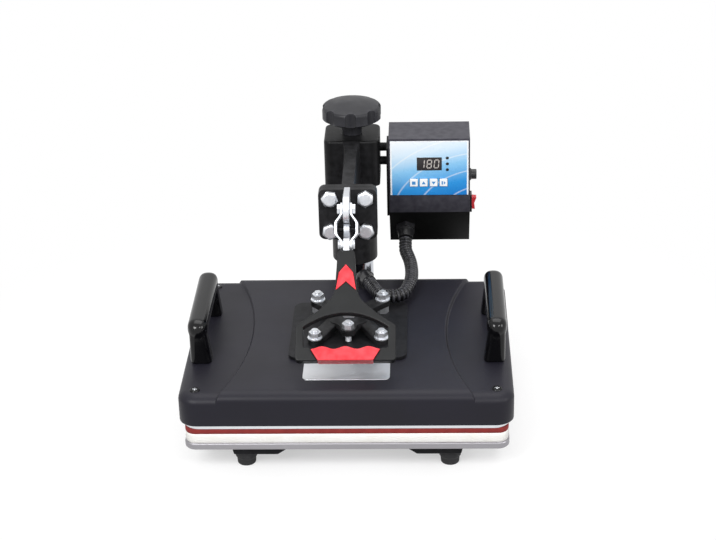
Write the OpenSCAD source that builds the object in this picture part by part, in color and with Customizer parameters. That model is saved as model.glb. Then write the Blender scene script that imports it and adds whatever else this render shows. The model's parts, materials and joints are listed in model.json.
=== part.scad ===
// Combo heat press: a swing-away head on a chrome post, closed by a toggle lever with a finger loop,
// over a cushioned lower platen, with a digital control box beside the column.
// Millimetres. X runs to the right, Y to the back and Z up; the press faces -Y and stands on z = 0.

/* [Base] */
// Height of a rubber foot
foot_h = 20; // [14:1:26]
// Radius of a foot where it meets the leg
foot_r_top = 13; // [9:0.5:14]
// Radius of a foot on the floor
foot_r_floor = 11; // [7:0.5:12]
// Height of the collar round the top of a foot
foot_collar = 11; // [3:0.5:12]
// Distance of the feet from the outer side of a leg
foot_side = 17; // [16:1:30]
// Distance of the front feet from the front end of a leg
foot_inset_front = 18; // [14:1:40]
// Distance of the rear feet from the rear end of a leg
foot_inset = 20; // [14:1:40]
// Distance of a leg's outer edge from the lower platen's side
leg_side = 52; // [30:1:60]
// Width of a leg at its top
leg_w = 80; // [64:1:90]
// Height of a leg's section
leg_h = 16; // [14:1:32]
// How far the outer side of a leg leans in
leg_flare_out = 4; // [0:0.5:6]
// How far the inner side of a leg leans in
leg_flare_in = 24; // [8:1:26]
// How far the legs stop short of the lower platen's front edge
leg_short = 16; // [10:1:26]
// Length of the legs behind the post's centre
leg_tail = 40; // [40:1:60]
// Thickness of the plate that ties the legs together under the post
post_plate_t = 8; // [6:0.5:12]
// Depth of that plate in front of the post's centre
post_plate_front = 50; // [48:1:60]

/* [Post] */
// Distance of the post's centre behind the cover
post_back = 67; // [60:1:80]
// Radius of the chrome post
post_r = 24; // [20:0.5:25]
// Wall of the post
post_wall = 4; // [3:0.5:6]
// Radius of the flange at the foot of the post
flange_r = 39; // [37:0.5:40]
// Thickness of that flange
flange_t = 8; // [6:0.5:10]
// Radius of the circle of flange bolts
flange_bolt_circle = 31.5; // [31:0.25:32]
// Radius of a flange bolt
flange_bolt_r = 4; // [3:0.25:5]
// Height of a flange bolt's head
flange_bolt_head = 5.5; // [4:0.5:7]
// Length of the threaded insert in the top of the post
post_nut_len = 16; // [10:1:24]

/* [Lower platen] */
// Width of the lower platen
platen_w = 380; // [340:1:384]
// Depth of the lower platen
platen_d = 300; // [260:1:304]
// Thickness of the lower platen
platen_t = 9; // [6:0.5:14]
// Corner radius of the platens in plan
platen_corner = 14; // [6:1:20]
// Thickness of the white underlay
underlay_t = 12; // [6:0.5:16]
// Thickness of the red silicone mat
mat_t = 7; // [4:0.5:10]
// How far the mat and underlay stand back from the platen's edge
mat_inset = 1; // [0:0.5:6]

/* [Heat platen] */
// Gap between the heat plate and the mat when the press is shut
press_gap = 0.3; // [0.2:0.1:1]
// Thickness of the heat plate
heat_t = 14; // [10:0.5:18]
// Height of the heat plate's edge that shows under the cover
heat_reveal = 6.7; // [4:0.1:9]
// Radius of the heating element's tube
element_r = 4; // [3:0.5:5]
// Distance of the element's loop from the heat plate's edges
element_in = 58; // [50:1:70]
// Bend radius at the element's corners
element_bend = 30; // [20:1:40]
// Thickness of the insulation board
insulation_t = 12; // [6:0.5:16]
// Distance of the insulation board from the heat plate's edges
insulation_in = 28; // [27:1:40]
// Radius of the thermocouple probe
probe_r = 2; // [1.5:0.25:3]
// Length of the thermocouple probe
probe_len = 40; // [20:1:60]

/* [Cover] */
// Height of the cover at its sides
cover_h = 37.3; // [34:0.1:44]
// How far the middle of the cover stands above its sides
cover_rise = 4; // [2:0.5:6]
// Wall of the cover
cover_wall = 3; // [2:0.25:3.5]
// Room between the heat plate's edge and the cover
cover_room = 2; // [1:0.25:4]
// Corner radius of the cover in plan
cover_corner = 22; // [16:1:30]
// Radius of the cover's top edge
cover_fillet = 10; // [5:0.5:12]
// Half width of the raised middle at the waist of its curved steps
waist_half = 118; // [100:1:130]
// Half width of the raised middle at the front and back edges
waist_end = 149; // [140:1:155]
// Distance of the cover screws from the cover's edges
cover_screw_in = 20; // [16:0.5:24]
// Radius of a cover screw's head
cover_screw_head = 5; // [4:0.25:6]
// Radius of a cover screw's shank
cover_screw_r = 2; // [1.5:0.25:2.5]

/* [Side handles] */
// Distance of a handle's centre from the cover's side
handle_in = 18; // [16:0.5:22]
// Radius of a handle's bar
handle_r = 12; // [10:0.5:13]
// Length of a handle's bar
handle_len = 150; // [120:1:180]
// Height of the bar's centre above the cover
handle_rise = 43; // [36:1:55]
// Distance of a leg's centre from the end of the bar
handle_leg_in = 14; // [12:1:24]
// Radius of the bar's edges and ends
handle_end_r = 8; // [4:0.5:9]
// Width of a leg where it meets the bar
handle_leg_w = 20; // [14:0.5:22]
// How far a leg spreads inwards down to the cover
handle_spread = 5; // [0:0.5:8]
// Depth of a leg along the bar
handle_leg_d = 24; // [20:0.5:24]

/* [Carriage] */
// Width of the mounting plate on the cover
mount_w = 141; // [124:1:150]
// Depth of the mounting plate
mount_d = 145; // [130:1:150]
// Thickness of the mounting plate
mount_t = 4; // [3:0.5:6]
// Corner radius of the mounting plate
mount_corner = 12; // [6:1:16]
// Distance of the studs from the spindle, to the sides and to the front and back
stud_reach = 40; // [34:1:46]
// Radius of a stud
stud_r = 4; // [3:0.25:5]
// Gap between the mounting plate and the spider, filled by a nut on each rear stud
spider_gap = 10; // [7:0.5:12]
// Thickness of the spider
spider_t = 7; // [6:0.5:10]
// Thickness of the spider's front pads, which rest on the mounting plate
spider_pad_t = 6; // [5:0.5:8]
// Radius of the spider's middle
spider_hub_r = 15; // [13:0.5:18]
// Radius of the ends of the spider's arms
spider_end_r = 9; // [8:0.5:11]
// Distance of the levelling screw in front of the spindle
level_reach = 36; // [30:1:44]
// Radius of the levelling screw
level_r = 3.5; // [3:0.25:4]
// Height of a nut
nut_h = 7; // [5:0.5:8]
// Width of a stud nut across its corners
nut_w = 15; // [12:0.5:17]
// Radius of the spindle
spindle_r = 7; // [6:0.25:8]
// Lift of the heat platen when the lever is up
platen_lift = 20; // [12:0.5:20]
// Room above the spindle's nut when the heat platen is up
lift_room = 1; // [0.5:0.25:3]

/* [Toggle] */
// Distance of the spindle and the lever's pivot behind the platen's centre
pivot_y = 6; // [0:1:10]
// Length of the lever's crank, from the pivot to the link's pin
crank = 26; // [24:0.5:26]
// Length of the push link
link_len = 49; // [49:0.5:60]
// Thickness of the tongue and the link
tongue_t = 7; // [5:0.5:8]
// Radius of the tongue's round end
tongue_end_r = 16; // [8:0.5:16.5]
// How far the tongue's root stands above the bracket plate
tongue_over = 3; // [0:0.5:5]
// How far the tongue's root reaches below the lever's pivot
tongue_root = 17; // [12:0.5:20]
// Radius of the lever's pivot bolt
pivot_r = 5; // [4:0.25:6]
// Radius of the link's pin
link_pin_r = 3.5; // [3:0.25:4.5]
// Radius of the link's lower pin
low_pin_r = 3.5; // [3:0.25:4]
// Room round the link's lower pin in the clevis
link_play = 4.5; // [4.5:0.25:6]
// Radius of the link's eyes
link_eye_r = 8; // [7.5:0.25:9]
// Thickness of a clevis ear
ear_t = 4; // [3:0.5:5]
// Thickness of the clevis's base
clevis_base_t = 6.5; // [5:0.5:9]
// Length of the guide sleeve round the spindle
guide_len = 17; // [12:1:20]
// Outer radius of the guide sleeve
guide_r = 12; // [11.5:0.25:13]
// Wall of the bush in the guide sleeve
guide_bush_wall = 2; // [1.5:0.25:2.5]
// Thickness of the arm that carries the guide sleeve
guide_web = 10; // [8:0.5:12]

/* [Arm] */
// Width of the head housing
housing_w = 71; // [66:1:80]
// Depth of the head housing
housing_d = 64; // [60:1:70]
// Height of the head housing
housing_h = 62; // [50:1:80]
// Corner radius of the housing in plan
housing_corner = 9; // [5:0.5:12]
// Radius of the housing's top edge
housing_fillet = 3; // [2:0.5:5]
// Height of the housing's top above the lever's pivot
housing_over = 12; // [12:0.5:20]
// Thickness of the roof over the post
roof_t = 7; // [5:0.5:10]
// Outer radius of the sleeve round the post
sleeve_r = 29.5; // [29:0.25:32]
// Height of the sleeve's lower end above the plate under the post
sleeve_gap = 67; // [40:1:90]
// Wall of the bushes between the post and the sleeve
bush_wall = 3; // [2:0.25:3]
// Length of a bush
bush_len = 22; // [14:1:30]
// Thickness of the arm's web
web_t = 15; // [12:0.5:18]
// Width of the web where it meets the housing
web_root_t = 22; // [18:0.5:28]
// Height of the front flange and the bracket plate
bracket_h = 66; // [60:1:70]
// Width of the front flange and the bracket plate
bracket_w = 71; // [64:1:80]
// Thickness of the front flange
arm_flange_t = 8; // [6:0.5:12]
// Thickness of the bracket plate
bracket_t = 8; // [6:0.5:10]
// Distance of the bracket plate's front face behind the lever's pivot
bracket_back = 38; // [36:1:46]
// Distance between the bracket bolts
bracket_bolt_pitch = 43; // [40:0.5:46]
// Radius of a bracket bolt
bracket_bolt_r = 6; // [5:0.25:7]
// Width of a bracket bolt's head across its corners
bracket_bolt_w = 21; // [18:0.5:22]
// Height of a bracket bolt's head
bracket_bolt_h = 6.5; // [5:0.5:8]

/* [Lever] */
// Distance of the lever's lower bolt in front of the pivot
bolt_fore = 20; // [20:0.5:24]
// Distance of the lever's lower bolt below the pivot
bolt_drop = 37; // [36:0.5:40]
// Angle of the handle below the horizontal when the press is shut
handle_angle = 45; // [43:0.5:46]
// Thickness of the loop
loop_t = 13; // [11:0.5:14]
// Length of the handle from the lower bolt to its end
handle_reach = 145; // [142:1:150]
// Half width of the loop
loop_half = 58.5; // [54:0.5:60]
// Width of the loop's side bars
loop_bar = 9; // [7:0.5:11]
// Distance of the loop's shoulders from the lower bolt
shoulder_reach = 102; // [98:1:106]
// Distance of the top of the loop's opening from the lower bolt
arch_reach = 87; // [84:1:92]
// Fall of the opening's arched top out to the side bars
arch_fall = 17; // [8:1:20]
// Distance from the lower bolt to where the loop spreads from the neck
fork_reach = 60; // [56:1:64]
// Half width of the neck there
fork_half = 13; // [12:0.25:14]
// Radius of the loop's outer corners
loop_corner = 4; // [2:0.5:6]
// Half width of the neck behind the red insert
neck_half = 10; // [8.5:0.25:10.5]
// Distance of the neck's upper end from the lower bolt
neck_reach = 9; // [8:0.25:12]
// Length of the steel blade inside the neck
blade_in = 14; // [8:0.5:16]
// Length of the steel blade above the lower bolt
blade_over = 6; // [5:0.25:7]
// Height of the steel blade
blade_h = 9; // [8:0.5:10]
// Distance of the red insert's tip from the lower bolt
insert_reach = 27; // [26:0.5:32]
// Length of the red insert
insert_len = 32; // [28:0.5:32]
// Depth of the pocket for the red insert
insert_t = 3; // [2:0.25:4]
// How far the insert and the grip stand proud of the loop
proud = 0.6; // [0.4:0.1:1.5]
// Depth of the finger grip from its upper edge to the end of the handle
grip_d = 15.5; // [14:0.5:18]
// Half width of the finger grip at its upper edge
grip_half = 40.5; // [36:0.5:44]
// How much narrower each side of the grip is at the end of the handle
grip_taper = 8.5; // [4:0.5:10]
// Thickness of the finger grip
grip_t = 17; // [14:0.5:18]
// Number of finger waves along the grip
grip_waves = 3; // [3:1:5]
// Height of a finger wave
grip_wave_h = 1.6; // [1:0.1:2.4]
// Thickness of a cheek strap
cheek_t = 3; // [2.5:0.25:3.5]
// Half gap between the cheeks where they bow out
cheek_bow = 11; // [10:0.5:13]
// Radius of the lever's lower bolt
lever_bolt_r = 4; // [3:0.25:4.5]

/* [Pressure knob] */
// Radius of the knob
knob_r = 38; // [34:0.5:38]
// Height of the knob above the housing
knob_h = 43; // [38:1:50]
// Height of the knob's hub
hub_h = 13.5; // [10:0.5:16]
// Radius of the knob's hub
hub_r = 12.5; // [11:0.5:14]
// Height of the slope from the hub to the knob's rim
flare_h = 8; // [6:0.5:10]
// Radius of the knob's upper edge
knob_edge = 5; // [3:0.5:7]
// Rise of the knob's crown above its upper edge
crown = 4.5; // [0.5:0.5:6]
// Number of scallops round the rim
scallops = 8; // [6:1:10]
// Radius of a scallop
scallop_r = 9; // [7:0.5:11]
// Depth of a scallop
scallop_d = 4; // [2:0.25:5]
// Radius of the pressure screw
screw_r = 8; // [6:0.25:9]
// Radius of the screw's collar and the thrust washer
collar_r = 18; // [15:0.5:20]
// Thickness of the screw's collar
collar_t = 4; // [3:0.5:6]
// Thickness of the thrust washer
washer_t = 2; // [1.5:0.25:3]
// Room between the top of the post and the screw's collar
collar_room = 6; // [5:0.5:10]
// Rise of the head over the pressure screw's turns
head_rise = 6; // [4:0.5:6]

/* [Control box] */
// Width of the control box
box_w = 104; // [100:1:112]
// Depth of the control box
box_d = 60; // [54:1:66]
// Height of the control box
box_h = 157; // [150:1:162]
// Gap between the housing's side and the box
box_gap = 11.5; // [8:0.5:16]
// Height of the box's top above the housing's top
box_over = 3; // [0:0.5:8]
// Thickness of the plate that carries the box
carrier_t = 3; // [2:0.25:4]
// Height of that plate
carrier_h = 94; // [70:1:96]
// Distance of that plate from the box's front and back
carrier_in = 8; // [5:0.5:12]
// Distance of that plate below the box's top
carrier_top = 16; // [12:0.5:18]
// Radius of the two studs between the housing and that plate
carrier_stud_r = 5.5; // [4:0.25:7]
// Distance of the upper stud below the housing's top
carrier_stud_top = 20; // [16:0.5:24]
// Distance between the two studs
carrier_stud_pitch = 19; // [16:0.5:26]
// Wall of the control box
box_wall = 2.5; // [2:0.25:3]
// Height of the box's upright front above its undercut
front_h = 102; // [100:1:106]
// Depth of the undercut at the bottom of the box
undercut = 34; // [26:1:38]
// Margin of the box's front beside the panel
panel_side = 2; // [1:0.5:4]
// Height of the box's front below the panel
panel_low = 25; // [22:0.5:30]
// Thickness of the control panel
panel_t = 1.5; // [1:0.25:2]
// Margin round the window behind the panel
panel_land = 3; // [2:0.5:4]
// Distance of the panel's top from the top of the box
panel_top = 3; // [2:0.5:5]
// Width of the display
display_w = 32; // [28:0.5:36]
// Height of the display
display_h = 18; // [14:0.5:20]
// Distance of the display's centre right of the box's middle
display_x = 0; // [-6:0.5:4]
// Distance of the display's centre below the top of the panel
display_z = 31; // [28:0.5:34]
// Width of a button
button_w = 10; // [8:0.5:10.5]
// Distance from button to button
button_pitch = 12.7; // [12:0.1:14]
// Distance of the row's centre right of the box's middle
button_x = -1; // [-4:0.5:4]
// Distance of the buttons' centres below the top of the panel
button_z = 56.5; // [54:0.5:60]
// How far a button stands out of the panel
button_proud = 2; // [1:0.25:3]
// Travel of a button
button_travel = 0.8; // [0.4:0.1:1.2]
// Radius of an indicator lens
lens_r = 2; // [1.5:0.25:2.5]
// Distance from lens to lens
lens_pitch = 8; // [6:0.5:9]
// Distance of the lenses right of the box's middle
lens_x = 23; // [21:0.5:28]
// Distance of the circuit board behind the panel
board_gap = 6; // [5:0.5:8]
// Distance of the fuse holder and the rocker behind the box's front
side_back = 26; // [22:0.5:30]
// Height of the fuse holder above the bottom of the box
fuse_up = 97; // [90:1:104]
// Height of the rocker above the bottom of the box
rocker_up = 58.5; // [54:0.5:64]
// Thickness of the rocker's bezel
bezel_t = 3; // [2:0.25:4]
// How far the rocker's ends stand out of the box
rocker_out = 8; // [5:0.25:9]
// Radius of the fuse holder's cap
fuse_r = 6.5; // [5:0.5:8]
// Length of the fuse holder's cap
fuse_len = 9; // [7:0.5:12]
// Height of the rocker switch's opening
rocker_h = 19; // [17:0.5:22]
// Width of the rocker switch's opening
rocker_w = 10.4; // [9:0.2:12]
// Turn of the rocker from off to on, in degrees
rocker_turn = 14; // [10:1:16]
// Radius of the trunnions that the rocker tips on
trunnion_r = 1.5; // [1:0.25:1.75]

/* [Hose] */
// Outer radius of the ribbed hose
hose_r = 8.5; // [7:0.25:9]
// Depth of a rib
rib_d = 1.1; // [0.5:0.1:1.4]
// Distance from rib to rib
rib_pitch = 5; // [4.4:0.1:6]
// Radius of the hose's bore
hose_bore_r = 6.25; // [5:0.25:6.5]
// Length of the gland on the control box
gland_len = 18; // [14:1:22]
// Distance of the box's gland from the box's left side
gland_x = 20.5; // [18:0.5:30]
// Place of the box's gland down the undercut, as a share of it
gland_share = 0.52; // [0.4:0.01:0.6]
// Distance of the cover's gland right of the centre line
cover_gland_x = 16; // [14:1:20]
// Distance of the cover's gland behind the platen's centre
cover_gland_y = 129; // [124:1:132]
// Length of the nipple on the cover's gland
nipple_len = 16; // [13:1:18]

/* [Hidden] */
// Radial room of a running fit
fit = 0.05;
// Room between pieces of one assembly that are pushed together
seat = 0.02;
// Room between pieces that pass each other
room = 0.4;
// Gap between the hose's ends and the glands that grip its wires
hose_gap = 0.3;
// Facets of a shape that is hulled
hull_fn = 32;
$fn = 48;

// Levels, from the floor up
leg_top = foot_h + leg_h;
post_plate_top = leg_top + post_plate_t;
platen_top = leg_top + platen_t;
underlay_top = platen_top + underlay_t;
mat_top = underlay_top + mat_t;
heat_z = mat_top + press_gap;
heat_top = heat_z + heat_t;
cover_z = heat_z + heat_reveal;
cover_side_top = cover_z + cover_h;
cover_top = cover_side_top + cover_rise;
element_top = heat_top + 2 * element_r;
mount_top = cover_top + mount_t;
spider_z = mount_top + spider_gap;
spider_top = spider_z + spider_t;
guide_z = spider_top + nut_h + platen_lift + lift_room;
guide_top = guide_z + guide_len;
clevis_z = guide_top + room;
clevis_floor = clevis_z + clevis_base_t;
low_pin_z = clevis_floor + link_eye_r + link_play + 1;
link_pin_z = low_pin_z + link_len;
pivot_z = link_pin_z + crank;
housing_top = pivot_z + housing_over;
housing_z = housing_top - housing_h;
roof_z = housing_top - roof_t;
washer_z = roof_z - washer_t - fit;
collar_z = washer_z - collar_t - fit;
post_top = collar_z - collar_room;
sleeve_z = post_plate_top + sleeve_gap;
knob_z = housing_top + room;
knob_top = housing_top + knob_h;

// Places across and along the press
cover_w = platen_w + 2 * (cover_wall + cover_room);
cover_d = platen_d + 2 * (cover_wall + cover_room);
heat_corner = cover_corner - cover_wall;
post_y = cover_d / 2 + post_back;
base_back = post_y + leg_tail;
leg_outer = platen_w / 2 - leg_side;
leg_inner = leg_outer - leg_w;
foot_x = leg_outer - foot_side;
leg_front = platen_d / 2 - leg_short;
foot_front = leg_front - foot_inset_front;
handle_x = cover_w / 2 - handle_in;
box_x = housing_w / 2 + box_gap;
panel_w = box_w - 2 * panel_side;
panel_h = front_h - panel_top - panel_low;
bracket_y = pivot_y + bracket_back;
arm_flange_y = bracket_y + bracket_t;
arm_flange_back = arm_flange_y + arm_flange_t;
bracket_top = housing_top - 3;
bracket_mid = bracket_top - bracket_h / 2;
box_front = post_y - housing_d / 2;
box_back = box_front + box_d;
box_top = housing_top + box_over;
box_z = box_top - box_h;
box_mid = box_x + box_w / 2;
box_right = box_x + box_w;
panel_z = box_top - panel_top;
board_y = box_front + board_gap;
frame_y = (cover_d / 2 - base_back) / 2;

// Fits
bush_bore = post_r + fit;
sleeve_bore = post_r + bush_wall + seat;
guide_bore = spindle_r + fit + guide_bush_wall + seat;
ear_in = tongue_t / 2 + room;
ear_r = low_pin_r + link_play + 4;
cheek_in = tongue_t / 2 + room;
cheek_out = cheek_in + cheek_t;

// The handle's frame starts at the lower bolt and runs down the handle
bolt_y = pivot_y - bolt_fore;
bolt_z = pivot_z - bolt_drop;
bolt_span = norm([bolt_fore, bolt_drop]);
grip_reach = handle_reach - grip_d;
open_half = loop_half - loop_bar;

// The hose leaves the box square to its undercut and enters the cover's gland square to its nipple
undercut_h = box_h - front_h;
gland_dir = [0, -undercut_h, -undercut] / norm([undercut_h, undercut]);
gland_seat = [box_x + gland_x, box_front + undercut * gland_share, box_z + undercut_h * (1 - gland_share)];
nipple_turn = 20;
nipple_dir = [sin(nipple_turn), -cos(nipple_turn), 0];
nipple_z = 11;
nipple_seat = [cover_gland_x, cover_gland_y, cover_top + nipple_z];
hose_start = gland_seat + (gland_len + hose_gap) * gland_dir;
hose_end = nipple_seat + (nipple_len + hose_gap) * nipple_dir;
hose_run = 2 * hose_r;
// Middle of the hose's route: place across, place along and height above the cover
hose_lay = [
    [74.5, 155, 22.7], [76, 132, 18.7], [75, 108, 16.2], [69, 86, 14.7], [57, 69, 14.2], [45, 68, 13.7], [35, 80, 12.7]
];
hose_points = concat(
    [hose_start, hose_start + hose_run * gland_dir],
    [for (p = hose_lay) p + [0, 0, cover_top]],
    [hose_end + hose_run * nipple_dir, hose_end]
);

// Shared shapes

// Moves a piece from the platen's centre to the middle of the whole press
module placed() translate([0, frame_y, 0]) children();

// Rounded rectangle centred on the origin
module plate_2d(w, d, r) {
    square([w - 2 * r, d], center = true);
    square([w, d - 2 * r], center = true);
    for (x = [-1, 1], y = [-1, 1])
        translate([x * (w / 2 - r), y * (d / 2 - r)]) circle(r);
}

// Rounded plate between two heights
module plate(w, d, r, z0, z1) translate([0, 0, z0]) linear_extrude(z1 - z0) plate_2d(w, d, r);

// Upright box with rounded corners and a rounded top edge
module soft_box(w, d, z0, z1, r, f) {
    hull()
        for (x = [-1, 1], y = [-1, 1])
            translate([x * (w / 2 - r), y * (d / 2 - r), z0])
                rotate_extrude($fn = hull_fn) {
                    square([r, z1 - z0 - f]);
                    square([r - f, z1 - z0]);
                    translate([r - f, z1 - z0 - f]) intersection() {
                        circle(f, $fn = hull_fn);
                        square(f);
                    }
                }
}

// Round rod along X
module rod_x(r, x0, x1) translate([x0, 0, 0]) rotate([0, 90, 0]) cylinder(r = r, h = x1 - x0);

// Round rod along Y
module rod_y(r, y0, y1) translate([0, y0, 0]) rotate([-90, 0, 0]) cylinder(r = r, h = y1 - y0);

// Hexagon prism along X
module hex_x(w, x0, x1) translate([x0, 0, 0]) rotate([0, 90, 0]) cylinder(d = w, h = x1 - x0, $fn = 6);

// Outline in Y and Z, made solid from x0 to x1
module side_solid(x0, x1) translate([x0, 0, 0]) rotate([90, 0, 90]) linear_extrude(x1 - x0) children();

// Outline in X and Z, made solid from y0 to y1
module front_solid(y0, y1) translate([0, y1, 0]) rotate([90, 0, 0]) linear_extrude(y1 - y0) children();

// Base

module leg(side) {
    front_solid(-leg_front, base_back)
        polygon([
            [side * leg_inner, leg_top],
            [side * leg_outer, leg_top],
            [side * (leg_outer - leg_flare_out), foot_h],
            [side * (leg_inner + leg_flare_in), foot_h]
        ]);
}

module leg_left() color("#1b1b1d") placed() leg(-1);

module leg_right() color("#1b1b1d") placed() leg(1);

module feet() {
    color("#141414") placed()
        for (x = [-foot_x, foot_x], y = [-foot_front, base_back - foot_inset])
            translate([x, y, 0]) rotate_extrude()
                polygon([
                    [0, 0], [foot_r_floor - 1, 0], [foot_r_floor, 1], [foot_r_top - 1.5, foot_h - foot_collar],
                    [foot_r_top, foot_h - foot_collar + 1], [foot_r_top, foot_h], [0, foot_h]
                ]);
}

// Places of the bolts round the post's flange
module at_flange_bolts() {
    for (turn = [45:90:315])
        translate([0, post_y, 0]) rotate(turn) translate([flange_bolt_circle, 0, 0]) children();
}

module post_plate() {
    color("#1b1b1d") placed()
        difference() {
            translate([-leg_outer, post_y - post_plate_front, leg_top])
                cube([2 * leg_outer, base_back - post_y + post_plate_front, post_plate_t]);
            at_flange_bolts() translate([0, 0, leg_top - 1]) cylinder(r = flange_bolt_r + fit, h = post_plate_t + 2);
        }
}

module post() {
    flange_top = post_plate_top + flange_t;
    color("#c9ccd2") placed()
        difference() {
            translate([0, post_y, 0]) rotate_extrude()
                polygon([
                    [post_r - post_wall, post_plate_top],
                    [flange_r, post_plate_top],
                    [flange_r, flange_top],
                    [post_r, flange_top],
                    [post_r, post_top],
                    [post_r - post_wall, post_top]
                ]);
            at_flange_bolts() translate([0, 0, post_plate_top - 1]) cylinder(r = flange_bolt_r + fit, h = flange_t + 2);
        }
}

module post_bolts() {
    flange_top = post_plate_top + flange_t;
    color("#b9bcc2") placed()
        at_flange_bolts() {
            translate([0, 0, leg_top]) cylinder(r = flange_bolt_r, h = flange_top - leg_top);
            translate([0, 0, flange_top]) cylinder(d = 3.25 * flange_bolt_r, h = flange_bolt_head, $fn = 6);
        }
}

module post_nut() {
    color("#8a7a4a") placed()
        translate([0, post_y, post_top - post_nut_len])
            difference() {
                cylinder(r = post_r - post_wall - seat, h = post_nut_len);
                translate([0, 0, -1]) cylinder(r = screw_r + fit, h = post_nut_len + 2);
            }
}

module lower_platen() color("#b4b6ba") placed() plate(platen_w, platen_d, platen_corner, leg_top, platen_top);

module underlay() {
    color("#eeeae2") placed()
        plate(platen_w - 2 * mat_inset, platen_d - 2 * mat_inset, platen_corner - mat_inset, platen_top, underlay_top);
}

module silicone_mat() {
    color("#8a2424") placed()
        plate(platen_w - 2 * mat_inset, platen_d - 2 * mat_inset, platen_corner - mat_inset, underlay_top, mat_top);
}

// Pressure knob and its screw

module thrust_washer() {
    color("#a8843c") placed()
        translate([0, post_y, washer_z])
            difference() {
                cylinder(r = collar_r, h = washer_t);
                translate([0, 0, -1]) cylinder(r = screw_r + fit, h = washer_t + 2);
            }
}

module pressure_screw() {
    color("#b9bcc2") placed()
        translate([0, post_y, 0]) {
            translate([0, 0, post_top - post_nut_len]) cylinder(r = screw_r, h = knob_z + hub_h - post_top + post_nut_len);
            translate([0, 0, collar_z]) cylinder(r = collar_r, h = collar_t);
        }
}

module pressure_knob() {
    rim_z = knob_z + hub_h + flare_h;
    edge_z = knob_top - crown - knob_edge;
    color("#3a3a3e") placed()
        translate([0, post_y, 0])
            difference() {
                rotate_extrude()
                    polygon(concat(
                        [[0, knob_z], [hub_r, knob_z], [hub_r + 1, knob_z + hub_h], [knob_r - 6, rim_z - 3.5], [knob_r, rim_z]],
                        [for (turn = [0:15:75]) [knob_r - knob_edge * (1 - cos(turn)), edge_z + knob_edge * sin(turn)]],
                        [for (share = [0.8:-0.2:0]) [(knob_r - knob_edge) * share, knob_top - crown * share * share]]
                    ));
                for (turn = [0:360 / scallops:359])
                    rotate(turn) translate([knob_r + scallop_r - scallop_d, 0, knob_z])
                        cylinder(r1 = scallop_r + 1, r2 = scallop_r, h = knob_h);
                translate([0, 0, knob_z - 1]) cylinder(r = screw_r + seat, h = hub_h + 1 + seat);
            }
}

// Swing head

// Outline of the arm's front flange and of the bracket plate, in X and Z
module bracket_2d() translate([0, bracket_mid]) plate_2d(bracket_w, bracket_h, 8);

// Places of the bracket bolts, looking at the plate from the front
module at_bracket_bolts() {
    for (x = [-1, 1], z = [-1, 1])
        translate([x, 0, z] * bracket_bolt_pitch / 2 + [0, 0, bracket_mid]) children();
}

module arm_casting() {
    web_top = housing_top - 1;
    web_low = housing_z + 3;
    housing_front = post_y - housing_d / 2;
    color("#1c1c1e") placed()
        difference() {
            union() {
                translate([0, post_y, 0])
                    soft_box(housing_w, housing_d, housing_z, housing_top, housing_corner, housing_fillet);
                translate([0, post_y, sleeve_z]) cylinder(r = sleeve_r, h = housing_z + 1 - sleeve_z);
                side_solid(-web_t / 2, web_t / 2)
                    polygon([
                        [housing_front + 5, web_top], [housing_front + 5, web_low],
                        [arm_flange_back - 1, bracket_mid - bracket_h / 2 + 6], [arm_flange_back - 1, bracket_top - 2]
                    ]);
                hull() {
                    translate([-web_root_t / 2, housing_front + 1, web_low]) cube([web_root_t, 1, web_top - web_low]);
                    translate([-web_t / 2, housing_front - 26, web_low]) cube([web_t, 1, web_top - web_low - 1]);
                }
                front_solid(arm_flange_y, arm_flange_back) bracket_2d();
            }
            translate([0, post_y, sleeve_z - 1]) cylinder(r = sleeve_bore, h = roof_z - sleeve_z + 1);
            translate([0, post_y, roof_z - 1]) cylinder(r = screw_r + room, h = roof_t + 2);
            at_bracket_bolts() rod_y(bracket_bolt_r + fit, arm_flange_y - 1, arm_flange_back + 1);
        }
}

module post_bushes() {
    color("#a8843c") placed()
        for (z = [sleeve_z, post_top - bush_len - head_rise])
            translate([0, post_y, z])
                difference() {
                    cylinder(r = post_r + bush_wall, h = bush_len);
                    translate([0, 0, -1]) cylinder(r = bush_bore, h = bush_len + 2);
                }
}

module bracket_plate() {
    color("#242427") placed()
        difference() {
            front_solid(bracket_y, arm_flange_y) bracket_2d();
            at_bracket_bolts() rod_y(bracket_bolt_r + fit, bracket_y - 1, arm_flange_y + 1);
        }
}

module bracket_bolts() {
    color("#d6d8dc") placed()
        at_bracket_bolts() {
            rod_y(bracket_bolt_r, bracket_y, arm_flange_back);
            translate([0, bracket_y - bracket_bolt_h, 0]) rotate([-90, 0, 0])
                cylinder(d = bracket_bolt_w, h = bracket_bolt_h, $fn = 6);
        }
}

module toggle_tongue() {
    color("#d6d8dc") placed()
        difference() {
            side_solid(-tongue_t / 2, tongue_t / 2)
                hull() {
                    translate([pivot_y, pivot_z]) circle(tongue_end_r, $fn = hull_fn);
                    translate([bracket_y - 2, pivot_z - tongue_root])
                        square([2, bracket_top + tongue_over - pivot_z + tongue_root]);
                }
            translate([0, pivot_y, pivot_z]) rod_x(pivot_r + seat, -tongue_t, tongue_t);
        }
}

module pivot_bolt() {
    half = cheek_out + 0.3;
    color("#d6d8dc") placed()
        translate([0, pivot_y, pivot_z]) {
            rod_x(pivot_r, -half - 3.5, half + 3.5);
            for (x = [-half - 3.5, half]) hex_x(2.5 * pivot_r, x, x + 3.5);
        }
}

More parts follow.
